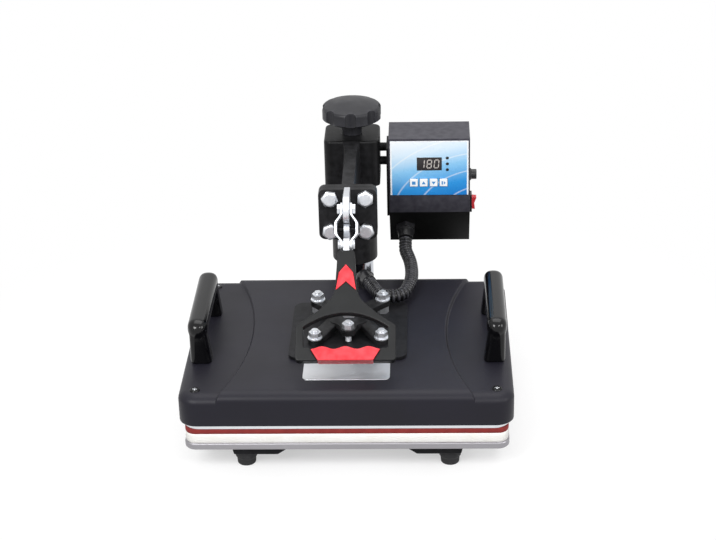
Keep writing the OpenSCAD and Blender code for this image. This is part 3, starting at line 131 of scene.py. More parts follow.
@dataclass(frozen=True)
class Finish:
    """A material and the way its surface was made: a mottled colour, a grain and rubbed edges, which on the
    hose's rib crests are a painted highlight.
    """

    name: str
    colour: str
    shade: str
    roughness: float
    metallic: float = 0.0
    mottle_mm: float = 30.0
    spread: float = 0.06
    grain_mm: float = 1.8
    grain_depth_mm: float = 0.03
    rub_and_sheen: str = ""
    coat: float = 0.0
    sheen: float = 0.0
    specular: float = 0.5
    # Size of the patches along an edge, and the least and most of the rubbed tone in them; on the hose's rib
    # crests this tone is a painted highlight
    rub_and_sheen_mm: float = 9.0
    rub_and_sheen_share: tuple[float, float] = (0.05, 0.9)
    # Size of the patches of gloss, as a share of the mottle's
    gloss_patch: float = 0.6

    def blotches(self, tree: Any, where: Any, size_mm: float, low: float, high: float) -> Any:
        """Makes soft blotches of a real size.

        Args:
            tree: The material's tree.
            where: The coordinates' socket.
            size_mm: Size of a blotch.
            low: Their lowest value.
            high: Their highest value.

        Returns:
            The value's socket.
        """
        noise = add_node(tree, "ShaderNodeTexNoise", {
            "Scale": 1 / (size_mm * MM), "Detail": 3.0, "Vector": where,
        })
        # The noise mostly lies between 0.3 and 0.7
        return add_node(tree, "ShaderNodeMapRange", {
            "From Min": 0.3, "From Max": 0.7, "To Min": low, "To Max": high, "Value": noise.outputs["Fac"],
        }).outputs["Result"]

    def tone(self, tree: Any, where: Any) -> Any:
        """Makes the colour: two near tones in soft blotches, and a rubbed tone along the edges, which on the
        hose's rib crests is a painted highlight.

        Args:
            tree: The material's tree.
            where: The coordinates' socket.

        Returns:
            The colour's socket.
        """
        share = self.blotches(tree, where, self.mottle_mm, 0.0, 1.0)
        colour = add_node(tree, "ShaderNodeMix", {
            "data_type": "RGBA", 0: share, 6: linear(self.colour), 7: linear(self.shade),
        }).outputs[2]
        if not self.rub_and_sheen:
            return colour
        # Along eased edges this tone is rubbed wear; on the hose's rib crests it is a painted highlight
        edge = add_node(tree, "ShaderNodeAttribute", {"attribute_name": "edge"}).outputs["Fac"]
        patchy = self.blotches(tree, where, self.rub_and_sheen_mm, *self.rub_and_sheen_share)
        worn_and_lit = add_node(tree, "ShaderNodeMath", {"operation": "MULTIPLY", 0: edge, 1: patchy}).outputs[0]
        rubbed = {"data_type": "RGBA", 0: worn_and_lit, 6: colour, 7: linear(self.rub_and_sheen)}
        return add_node(tree, "ShaderNodeMix", rubbed).outputs[2]

    def gloss(self, tree: Any, where: Any) -> Any:
        """Makes the roughness, in soft patches where hands and dust change it."""
        low, high = self.roughness - self.spread, self.roughness + self.spread
        return self.blotches(tree, where, self.mottle_mm * self.gloss_patch, low, high)

    def relief(self, tree: Any, where: Any) -> Any:
        """Makes the grain's height, from 0 to 1."""
        values = {"Scale": 1 / (self.grain_mm * MM), "Detail": 2.0, "Vector": where}
        return add_node(tree, "ShaderNodeTexNoise", values).outputs["Fac"]

    def make(self) -> bpy.types.Material:
        """Builds the material.

        Returns:
            The material, named for the finish.
        """
        material = bpy.data.materials.new(self.name)
        material.use_nodes = True
        tree = material.node_tree
        tree.nodes.clear()
        where = add_node(tree, "ShaderNodeTexCoord").outputs["Object"]
        bump = add_node(tree, "ShaderNodeBump", {
            "Strength": 1.0, "Distance": self.grain_depth_mm * MM, "Height": self.relief(tree, where),
        })
        shader = add_node(tree, "ShaderNodeBsdfPrincipled", {
            "Metallic": self.metallic, "Coat Weight": self.coat, "Sheen Weight": self.sheen,
            "Specular IOR Level": self.specular, "Base Color": self.tone(tree, where),
            "Roughness": self.gloss(tree, where), "Normal": bump.outputs["Normal"],
        })
        add_node(tree, "ShaderNodeOutputMaterial", {"Surface": shader.outputs["BSDF"]})
        return material


@dataclass(frozen=True)
class TurnedMetal(Finish):
    """Metal that a tool has passed along: fine lines that are long one way and short across."""

    # Length of a tool mark in grains, and its size along each axis as a share of that length
    mark_grains: float = 50.0
    stretch: tuple[float, float, float] = (1.0, 1.0, 0.02)

    def relief(self, tree: Any, where: Any) -> Any:
        """Makes the tool marks' height from a stretched noise.

        Args:
            tree: The material's tree.
            where: The coordinates' socket.

        Returns:
            The height's socket.
        """
        scale = [1 / part for part in self.stretch]
        along = add_node(tree, "ShaderNodeMapping", {"Scale": scale, "Vector": where}).outputs["Vector"]
        length = self.grain_mm * self.mark_grains * MM
        values = {"Scale": 1 / length, "Detail": 1.0, "Vector": along}
        return add_node(tree, "ShaderNodeTexNoise", values).outputs["Fac"]


@dataclass(frozen=True)
class PlatedSteel(Finish):
    """Bright plating over steel: small crystals that each take the light a little differently."""

    def crystals(self, tree: Any, where: Any) -> Any:
        """Gives each crystal a random value from 0 to 1."""
        cells = add_node(tree, "ShaderNodeTexVoronoi", {"Scale": 1 / (self.grain_mm * MM), "Vector": where})
        return add_node(tree, "ShaderNodeSeparateColor", {"Color": cells.outputs["Color"]}).outputs["Red"]

    def tone(self, tree: Any, where: Any) -> Any:
        """Mixes the two tones crystal by crystal."""
        colours = {6: linear(self.colour), 7: linear(self.shade)}
        return add_node(
            tree, "ShaderNodeMix", {"data_type": "RGBA", 0: self.crystals(tree, where), **colours}
        ).outputs[2]

    def gloss(self, tree: Any, where: Any) -> Any:
        """Varies the roughness crystal by crystal."""
        ends = {"To Min": self.roughness - self.spread, "To Max": self.roughness + self.spread}
        return add_node(
            tree, "ShaderNodeMapRange", {"Value": self.crystals(tree, where), **ends}
        ).outputs["Result"]


@dataclass(frozen=True)
class PoredSponge(Finish):
    """Foamed silicone or pressed fibre: open pores or fibres all over the cut face."""

    # Size of the fine roughness between the pores, as a share of a pore's
    fine_share: float = 0.6

    def relief(self, tree: Any, where: Any) -> Any:
        """Makes the pores' height from the distance to each pore's middle.

        Args:
            tree: The material's tree.
            where: The coordinates' socket.

        Returns:
            The height's socket.
        """
        pores = {"Scale": 1 / (self.grain_mm * MM), "Randomness": 1.0, "Vector": where}
        cells = add_node(tree, "ShaderNodeTexVoronoi", pores).outputs["Distance"]
        rough = {"Scale": 1 / (self.grain_mm * self.fine_share * MM), "Detail": 2.0, "Vector": where}
        fine = add_node(tree, "ShaderNodeTexNoise", rough).outputs["Fac"]
        return add_node(tree, "ShaderNodeMath", {"operation": "ADD", 0: cells, 1: fine}).outputs[0]


@dataclass(frozen=True)
class DownShadedSheet(Finish):
    """Painted sheet whose faces that look down get a painted shade, near black."""

    painted_shade: str = "#060606"
    # Z of the normals between which the paint gives way to the painted shade
    painted_shade_normals: tuple[float, float] = (-0.15, -0.45)

    def tone(self, tree: Any, where: Any) -> Any:
        """Makes the paint's colour, with a painted shade on faces that look down.

        Args:
            tree: The material's tree.
            where: The coordinates' socket.

        Returns:
            The colour's socket.
        """
        paint = super().tone(tree, where)
        # Faces whose normals point down get the painted shade, a near black
        normal = add_node(tree, "ShaderNodeNewGeometry").outputs["True Normal"]
        down = add_node(tree, "ShaderNodeSeparateXYZ", {0: normal}).outputs["Z"]
        share = add_node(tree, "ShaderNodeMapRange", {
            "From Min": self.painted_shade_normals[0], "From Max": self.painted_shade_normals[1], "Value": down,
        }).outputs["Result"]
        mixed = {"data_type": "RGBA", 0: share, 6: paint, 7: linear(self.painted_shade)}
        return add_node(tree, "ShaderNodeMix", mixed).outputs[2]


@dataclass(frozen=True)
class PrintedFilm(Finish):
    """Overlay film printed on its back: a pale field that deepens to blue, with pale arcs."""

    # The film's middle and half its size. The print is laid out in units of that half size.
    middle: tuple[float, float, float] = (0.099, 0.0, 0.249)
    half: tuple[float, float] = (0.050, 0.037)
    fade_way: tuple[float, float, float] = (-0.22, 0.0, 0.9)
    fade_reach: float = 1.1
    bands: tuple[tuple[float, str], ...] = (
        (0.0, "#1878c8"), (0.22, "#2e95de"), (0.5, "#8ac8f2"), (0.75, "#d9edfc"), (1.0, "#f8fcff"),
    )
    arc_middle: tuple[float, float, float] = (1.5, 0.0, -1.9)
    # Half the distance between arcs, half an arc's width, and how much white it has
    arc_gap: float = 0.31
    arc_width: float = 0.035
    arc_share: float = 0.45
    # Where the pale border starts and is full, at the top and the sides
    border: tuple[float, float] = (0.955, 0.965)
    border_tone: str = "#f4f8fc"

    def field(self, tree: Any, place: Any) -> Any:
        """Makes the slanting fade from blue to white.

        Args:
            tree: The material's tree.
            place: Socket with the place on the film.

        Returns:
            The colour's socket.
        """
        slant = add_node(tree, "ShaderNodeVectorMath", {
            "operation": "DOT_PRODUCT", 0: place, 1: self.fade_way,
        })
        share = add_node(tree, "ShaderNodeMapRange", {
            "From Min": -self.fade_reach, "From Max": self.fade_reach, "Value": slant.outputs["Value"],
        })
        ramp = add_node(tree, "ShaderNodeValToRGB", {"Fac": share.outputs["Result"]})
        stops = ramp.color_ramp.elements
        for number, (spot, code) in enumerate(self.bands):
            stop = stops[number] if number < 2 else stops.new(spot)
            stop.position = spot
            stop.color = linear(code)
        return ramp.outputs["Color"]

    def tone(self, tree: Any, where: Any) -> Any:
        """Paints the film: the fade, arcs round a point beyond its lower right corner, and the border.

        Args:
            tree: The material's tree.
            where: The coordinates' socket.

        Returns:
            The colour's socket.
        """
        scale = (1 / self.half[0], 0.0, 1 / self.half[1])
        shift = [-m * s for m, s in zip(self.middle, scale)]
        place = add_node(
            tree, "ShaderNodeMapping", {"Scale": scale, "Location": shift, "Vector": where}
        ).outputs["Vector"]
        reach = add_node(tree, "ShaderNodeVectorMath", {
            "operation": "DISTANCE", 0: place, 1: self.arc_middle,
        })
        ring = add_node(
            tree, "ShaderNodeMath", {"operation": "PINGPONG", 0: reach.outputs["Value"], 1: self.arc_gap}
        )
        arc = add_node(tree, "ShaderNodeMapRange", {
            "From Max": self.arc_width, "To Min": self.arc_share, "To Max": 0.0, "Value": ring.outputs[0],
        }).outputs["Result"]
        printed = add_node(tree, "ShaderNodeMix", {
            "data_type": "RGBA", 0: arc, 6: self.field(tree, place), 7: linear("#ffffff"),
        }).outputs[2]
        parts = add_node(tree, "ShaderNodeSeparateXYZ", {0: place}).outputs
        across = add_node(tree, "ShaderNodeMath", {"operation": "ABSOLUTE", 0: parts["X"]}).outputs[0]
        edge = add_node(tree, "ShaderNodeMath", {"operation": "MAXIMUM", 0: across, 1: parts["Z"]}).outputs[0]
        border = add_node(tree, "ShaderNodeMapRange", {
            "From Min": self.border[0], "From Max": self.border[1], "Value": edge,
        }).outputs["Result"]
        mixed = {"data_type": "RGBA", 0: border, 6: printed, 7: linear(self.border_tone)}
        return add_node(tree, "ShaderNodeMix", mixed).outputs[2]


class Coat(Enum):
    """The finishes of this press."""

    # Powder coat on pressed steel: satin charcoal with a soft orange peel, rubbed paler on the corners.
    # The peel is drawn about twice as coarse as the real one, so that it shows.
    COVER = Finish("charcoal powder coat on pressed steel", "#1c1b24", "#19181f", 0.46, rub_and_sheen="#34333b",
                   mottle_mm=80, spread=0.03, grain_mm=2.4, grain_depth_mm=0.04, specular=0.22)
    # The box's faces that look down get a painted shade, near black.
    BOX = DownShadedSheet("charcoal powder coat on folded steel", "#33323a", "#302f37", 0.44, rub_and_sheen="#47464d",
                      mottle_mm=60, spread=0.02, grain_mm=2.0, grain_depth_mm=0.03, specular=0.2)
    BLACK = Finish("black powder coat on steel plate", "#0e0e11", "#0c0c0e", 0.5, rub_and_sheen="#212124",
                   mottle_mm=50, spread=0.03, grain_mm=2.0, grain_depth_mm=0.04, specular=0.15)
    # Enamel brushed over a sand casting: the sand's pits still show through the paint.
    CASTING = Finish("black enamel on sand-cast iron", "#0f0f10", "#121213", 0.44, rub_and_sheen="#2b2b2d",
                     mottle_mm=10, spread=0.025, grain_mm=2.2, grain_depth_mm=0.1, specular=0.16)
    # Hard chrome ground round and round: a near mirror with faint rings.
    CHROME = TurnedMetal("hard chrome on ground steel tube", "#c3c6cc", "#b8bbc2", 0.09, 1.0,
                         spread=0.03, grain_mm=1.5, grain_depth_mm=0.004, stretch=(1.0, 1.0, 0.03))
    # Bright zinc: bluish white crystals of a few millimetres, drawn large so that they show.
    ZINC = PlatedSteel("bright zinc plate on steel", "#e4e6ea", "#dadde2", 0.4, 0.9, spread=0.03,
                       grain_mm=2.6, grain_depth_mm=0.003)
    # Steel drawn through a die: grey, with no marks to speak of.
    SHEATH = TurnedMetal("drawn steel sheath", "#8f9196", "#7f8187", 0.38, 1.0, stretch=(1.0, 1.0, 1.0))
    # Blackened steel: a thin dark skin through which the metal still shines.
    OXIDE = Finish("black oxide on steel", "#0e0e10", "#17171a", 0.32, 0.6, grain_mm=1.2)
    # Bearing bronze: warm brown yellow with turned rings.
    BRONZE = TurnedMetal("turned sintered bronze", "#b08f52", "#987a44", 0.34, 1.0, grain_depth_mm=0.02)
    # Cast plate with a milled edge: long marks from the cutter along X.
    MILLED = TurnedMetal("milled cast aluminium", "#d9dbde", "#cfd1d5", 0.3, 1.0, spread=0.04,
                         mottle_mm=90, grain_mm=1.2, grain_depth_mm=0.008, stretch=(1.0, 0.2, 0.02))
    # The lower platen is as cast, only its faces are milled: greyer and duller than the heat plate.
    CAST = TurnedMetal("sand-cast aluminium with milled faces", "#9b999d", "#949296", 0.44, 1.0,
                       spread=0.03, mottle_mm=90, grain_mm=1.2, grain_depth_mm=0.006,
                       stretch=(1.0, 0.2, 0.02))
    # Thin plate with a brushed face: silver with fine lines along X.
    FOIL = TurnedMetal("brushed aluminium plate", "#dcdde0", "#d2d4d8", 0.36, 1.0, spread=0.04,
                       grain_mm=1.4, grain_depth_mm=0.005, stretch=(1.0, 0.02, 1.0))
    # Felt: a soft white edge with short fibres.
    FELT = PoredSponge("pressed white aramid felt", "#fffefc", "#f9f7f1", 0.9, sheen=0.25, mottle_mm=14,
                       grain_mm=1.6, grain_depth_mm=0.25)
    # Silicone sponge: brownish red with small open pores.
    SPONGE = PoredSponge("red silicone sponge", "#8c2a26", "#7c211f", 0.72, mottle_mm=12, grain_mm=1.4,
                         grain_depth_mm=0.18)
    # Moulded rubber and plastics: blacks that differ mainly in their gloss.
    RUBBER = Finish("black moulded rubber", "#111112", "#17171a", 0.72, rub_and_sheen="#29292b", mottle_mm=12,
                    grain_mm=1.4, grain_depth_mm=0.06)
    KNOB = Finish("grey moulded phenolic plastic", "#242428", "#1f1f23", 0.46, rub_and_sheen="#36363b",
                  mottle_mm=25, grain_mm=1.5, grain_depth_mm=0.05, specular=0.3)
    HANDLE = Finish("gloss black moulded phenolic plastic", "#050507", "#08080a", 0.15, rub_and_sheen="#131316",
                    mottle_mm=35, spread=0.04, grain_mm=5.0, grain_depth_mm=0.02, specular=0.3)
    LEVER = Finish("black moulded nylon over a steel core", "#131415", "#191a1b", 0.46, rub_and_sheen="#2d2e30",
                   mottle_mm=20, grain_mm=1.6, grain_depth_mm=0.06, specular=0.25)
    NYLON = Finish("black moulded nylon", "#0d0d0f", "#131316", 0.34, rub_and_sheen="#242427", mottle_mm=12,
                   grain_mm=1.4)
    # A painted highlight makes the crests of the hose's ribs paler, where they catch the light.
    CONDUIT = Finish("black corrugated nylon conduit", "#060608", "#09090b", 0.18, rub_and_sheen="#4c4c52",
                     mottle_mm=10, spread=0.03, grain_mm=3.0, grain_depth_mm=0.01, specular=0.35)
    # Coral red with a satin skin.
    RED = Finish("coral red moulded ABS", "#de2934", "#d92631", 0.4, rub_and_sheen="#ec4c54", mottle_mm=40,
                 spread=0.03, grain_mm=1.6, grain_depth_mm=0.02, specular=0.3)
    # The panel, from the film over it to the print on its keys.
    FILM = PrintedFilm("blue printed overlay film", "#ffffff", "#ffffff", 0.28, spread=0.04, coat=0.3,
                       grain_mm=3.0, grain_depth_mm=0.008)
    WINDOW = Finish("smoked acrylic window", "#2a2628", "#231f21", 0.12, spread=0.03, mottle_mm=20,
                    grain_mm=6.0, grain_depth_mm=0.004)
    FIGURES = Finish("pale unlit figure segments", "#cfc9c4", "#bdb7b2", 0.4, mottle_mm=4, grain_mm=1.0)
    LENS = Finish("dark tinted lens", "#101215", "#1a1d22", 0.15, mottle_mm=2, grain_mm=1.0)
    KEYS = Finish("white moulded key", "#f3f6f9", "#e8edf2", 0.4, rub_and_sheen="#ffffff", mottle_mm=6, grain_mm=1.2)
    INK = Finish("blue pad print", "#3f8fd0", "#3a86c4", 0.45, mottle_mm=3, grain_mm=1.0)
    # Inside, where nothing shows while the press is whole.
    LAMINATE = Finish("green glass epoxy board", "#1f5f38", "#17502e", 0.4, mottle_mm=6, grain_mm=1.2)
    FIBRE = PoredSponge("pressed ceramic fibre board", "#d8d1bd", "#c9c1aa", 0.9, grain_depth_mm=0.2)

    def material(self) -> bpy.types.Material:
        """Gives the finish's material, which is made the first time."""
        found = bpy.data.materials.get(self.value.name)
        return found if found else self.value.make()


def new_piece(name: str, mesh: bpy.types.Mesh) -> bpy.types.Object:
    """Puts a mesh in the scene as an object at the origin.

    Args:
        name: The piece's name.
        mesh: Its mesh, already in place.

    Returns:
        The object.
    """
    piece = bpy.data.objects.new(name, mesh)
    bpy.context.scene.collection.objects.link(piece)
    return piece


def make_piece(name: str, build: Callable[[bmesh.types.BMesh], None]) -> bpy.types.Object:
    """Makes a piece whose faces point outwards.

    Args:
        name: The piece's name.
        build: Adds its faces.

    Returns:
        The piece.
    """
    shape = bmesh.new()
    build(shape)
    bmesh.ops.remove_doubles(shape, verts=shape.verts, dist=WELD)
    bmesh.ops.dissolve_degenerate(shape, edges=shape.edges, dist=SLIVER)
    bmesh.ops.recalc_face_normals(shape, faces=shape.faces)
    mesh = bpy.data.meshes.new(name)
    shape.to_mesh(mesh)
    shape.free()
    return new_piece(name, mesh)


def settle_modifiers(piece: bpy.types.Object) -> None:
    """Turns a piece and its modifiers into a plain mesh.

    Args:
        piece: The piece, which loses its modifiers.
    """
    graph = bpy.context.evaluated_depsgraph_get()
    mesh = bpy.data.meshes.new_from_object(piece.evaluated_get(graph), depsgraph=graph)
    piece.modifiers.clear()
    piece.data = mesh


def smooth_shading(mesh: bpy.types.Mesh, angle: float) -> None:
    """Shades a mesh smooth, with creases sharper than an angle in degrees kept."""
    mesh.shade_smooth()
    mesh.set_sharp_from_angle(angle=math.radians(angle))


def flow_together(piece: bpy.types.Object, grid_mm: float, passes: int) -> None:
    """Fuses a piece's solids into one skin whose edges and inner corners are rounded, as moulded.

    Args:
        piece: The piece.
        grid_mm: Size of the new faces.
        passes: How often the skin is smoothed.
    """
    remesh = piece.modifiers.new("even faces", "REMESH")
    remesh.mode = "VOXEL"
    remesh.voxel_size = grid_mm * MM
    flow = piece.modifiers.new("flowing corners", "SMOOTH")
    flow.factor = 0.5
    flow.iterations = passes
    settle_modifiers(piece)
    piece.data.shade_smooth()


def ease_between(value: float, low: float, high: float) -> float:
    """Rises gently from 0 to 1 as a value goes from one end of a range to the other."""
    share = min(1.0, max(0.0, (value - low) / (high - low)))
    return share * share * (3 - 2 * share)


def plate_outline(width: float, depth: float, corner: float, steps: int = 8) -> Outline:
    """Lists the points of a rounded rectangle, centred on the origin.

    Args:
        width: Size along the first axis.
        depth: Size along the second axis.
        corner: Corner radius.
        steps: Pieces of each corner.

    Returns:
        The points, anticlockwise.
    """
    points = []
    for quarter, (sx, sy) in enumerate(((1, 1), (-1, 1), (-1, -1), (1, -1))):
        for step in range(steps + 1):
            turn = math.radians(90 * (quarter + step / steps))
            points.append((
                sx * (width / 2 - corner) + corner * math.cos(turn),
                sy * (depth / 2 - corner) + corner * math.sin(turn),
            ))
    return points


def add_loft(shape: bmesh.types.BMesh, rings: Sequence[Sequence[Point]]) -> None:
    """Joins rings of as many points each into one closed skin with flat ends.

    Args:
        shape: The mesh that gets the skin.
        rings: The rings, from one end to the other.
    """
    made = [[shape.verts.new(point) for point in ring] for ring in rings]
    for low, high in zip(made, made[1:]):
        for i, corner in enumerate(low):
            shape.faces.new((low[i - 1], corner, high[i], high[i - 1]))
    shape.faces.new(made[0])
    shape.faces.new(made[-1])


def add_grid(shape: bmesh.types.BMesh, rows: Sequence[Sequence[Point]]) -> None:
    """Adds a sheet of four-sided faces through rows of points.

    Args:
        shape: The mesh that gets the sheet.
        rows: The rows, with as many points each.
    """
    made = [[shape.verts.new(point) for point in row] for row in rows]
    for low, high in zip(made, made[1:]):
        for i in range(len(low) - 1):
            shape.faces.new((low[i], low[i + 1], high[i + 1], high[i]))


class RepeatTree:
    """A Geometry Nodes tree with named inputs, which makes what repeats or follows a path."""

    def __init__(self, name: str, lengths: Sequence[str]) -> None:
        """Starts the tree with a geometry input and output, named numbers and a finish.

        Args:
            name: The tree's name.
            lengths: The names of the number inputs.
        """
        self.tree = bpy.data.node_groups.new(name, "GeometryNodeTree")
        self.names: dict[str, str] = {}
        face = self.tree.interface
        for way in ("INPUT", "OUTPUT"):
            face.new_socket("Geometry", in_out=way, socket_type="NodeSocketGeometry")
        sockets = {**dict.fromkeys(lengths, "NodeSocketFloat"), "Finish": "NodeSocketMaterial"}
        for label, kind in sockets.items():
            self.names[label] = face.new_socket(label, in_out="INPUT", socket_type=kind).identifier
        self.inputs = self.add("NodeGroupInput").outputs

    def add(self, kind: str, values: dict | None = None) -> Any:
        """Adds a node to the tree, as add_node does."""
        return add_node(self.tree, kind, values)

    def end(self, geometry: Any) -> None:
        """Ends the tree: real meshes instead of instances, shaded smooth, in their finish.

        Args:
            geometry: The socket with the finished geometry.
        """
        real = self.add("GeometryNodeRealizeInstances", {"Geometry": geometry})
        smooth = self.add("GeometryNodeSetShadeSmooth", {"Geometry": real.outputs[0]})
        dressed = self.add("GeometryNodeSetMaterial", {
            "Geometry": smooth.outputs[0], "Material": self.inputs["Finish"],
        })
        self.add("NodeGroupOutput", {"Geometry": dressed.outputs[0]})

    def end_on_points(self, shape: Any) -> None:
        """Ends the tree with a copy of a shape on each point."""
        values = {"Points": self.inputs["Geometry"], "Instance": shape}
        self.end(self.add("GeometryNodeInstanceOnPoints", values).outputs[0])

    def run(
        self, name: str, points: Sequence[Point], path: bool, coat: Coat, values: dict[str, float]
    ) -> bpy.types.Object:
        """Runs the tree on points and keeps the result as a plain mesh.

        Args:
            name: The new piece's name.
            points: The points that the tree starts from.
            path: Whether the points are joined into a path.
            coat: The piece's finish.
            values: The values of the number inputs.

        Returns:
            The piece.
        """
        mesh = bpy.data.meshes.new(name)
        edges = [(i, i + 1) for i in range(len(points) - 1)] if path else []
        mesh.from_pydata([tuple(p) for p in points], edges, [])
        piece = new_piece(name, mesh)
        modifier = piece.modifiers.new(self.tree.name, "NODES")
        modifier.node_group = self.tree
        for label, value in {**values, "Finish": coat.material()}.items():
            modifier[self.names[label]] = value
        settle_modifiers(piece)
        return piece


class RibbedTubeTree(RepeatTree):
    """Sweeps a round section along a path, with ribs at a fixed pitch, and marks the ribs' crests for a
    painted highlight.
    """

    # Sides of the section, and how far from the middle of the wave a groove's flank starts and ends
    sides: ClassVar[int] = 28
    flank: ClassVar[float] = 0.7

    def __init__(self) -> None:
        """Builds the tree."""
        super().__init__("ribbed tube", ("Radius", "Rib Depth", "Rib Pitch", "Step"))
        line = self.add("GeometryNodeMeshToCurve", {"Mesh": self.inputs["Geometry"]})
        fine = self.add("GeometryNodeResampleCurve", {
            "mode": "LENGTH", "Curve": line.outputs[0], "Length": self.inputs["Step"],
        })
        run = self.add("GeometryNodeSplineParameter").outputs["Length"]
        pitch = self.inputs["Rib Pitch"]
        count = self.add("ShaderNodeMath", {"operation": "DIVIDE", 0: run, 1: pitch})
        turn = self.add("ShaderNodeMath", {"operation": "MULTIPLY", 0: count.outputs[0], 1: math.tau})
        wave = self.add("ShaderNodeMath", {"operation": "COSINE", 0: turn.outputs[0]})
        groove = self.add("ShaderNodeMapRange", {
            "interpolation_type": "SMOOTHSTEP", "From Min": -self.flank, "From Max": self.flank,
            "Value": wave.outputs[0],
        }).outputs[0]
        depth = self.inputs["Rib Depth"]
        drop = self.add("ShaderNodeMath", {"operation": "MULTIPLY", 0: groove, 1: depth}).outputs[0]
        radius = self.inputs["Radius"]
        size = self.add("ShaderNodeMath", {"operation": "SUBTRACT", 0: radius, 1: drop})
        # The crests are stored as the edge attribute, on which the hose's finish paints a highlight
        crest = self.add("ShaderNodeMath", {"operation": "SUBTRACT", 0: 1.0, 1: groove})
        marked = self.add("GeometryNodeStoreNamedAttribute", {
            "data_type": "FLOAT", "domain": "POINT", "Name": "edge", "Geometry": fine.outputs[0],
            "Value": crest.outputs[0],
        })
        ring = self.add("GeometryNodeCurvePrimitiveCircle", {"Resolution": self.sides, "Radius": 1.0})
        tube = self.add("GeometryNodeCurveToMesh", {
            "Fill Caps": True, "Curve": marked.outputs[0], "Profile Curve": ring.outputs["Curve"],
            "Scale": size.outputs[0],
        })
        self.end(tube.outputs[0])


class ThreadTree(RepeatTree):
    """Winds a screw thread upwards from each point."""

    # Points in a turn, and sides of the thread's ridge
    turn_points: ClassVar[int] = 20
    ridge_sides: ClassVar[int] = 6

    def __init__(self) -> None:
        """Builds the tree."""
        super().__init__("screw thread", ("Radius", "Turns", "Height", "Crest"))
        radius = self.inputs["Radius"]
        helix = self.add("GeometryNodeCurveSpiral", {
            "Resolution": self.turn_points, "Rotations": self.inputs["Turns"], "Start Radius": radius,
            "End Radius": radius, "Height": self.inputs["Height"],
        })
        ridge = self.add("GeometryNodeCurvePrimitiveCircle", {
            "Resolution": self.ridge_sides, "Radius": self.inputs["Crest"],
        })
        wire = self.add("GeometryNodeCurveToMesh", {
            "Fill Caps": True, "Curve": helix.outputs[0], "Profile Curve": ridge.outputs["Curve"],
        })
        self.end_on_points(wire.outputs[0])


class RecessTree(RepeatTree):
    """Lays a small cross on each point, as the recess of a cross-head screw."""

    def __init__(self) -> None:
        """Builds the tree."""
        super().__init__("cross recess", ("Length", "Width", "Depth"))
        cross = self.add("GeometryNodeJoinGeometry")
        for first, second in (("Length", "Width"), ("Width", "Length")):
            size = self.add("ShaderNodeCombineXYZ", {
                0: self.inputs[first], 1: self.inputs[second], 2: self.inputs["Depth"],
            })
            bar = self.add("GeometryNodeMeshCube", {"Size": size.outputs[0]})
            self.tree.links.new(bar.outputs["Mesh"], cross.inputs["Geometry"])
        self.end_on_points(cross.outputs[0])


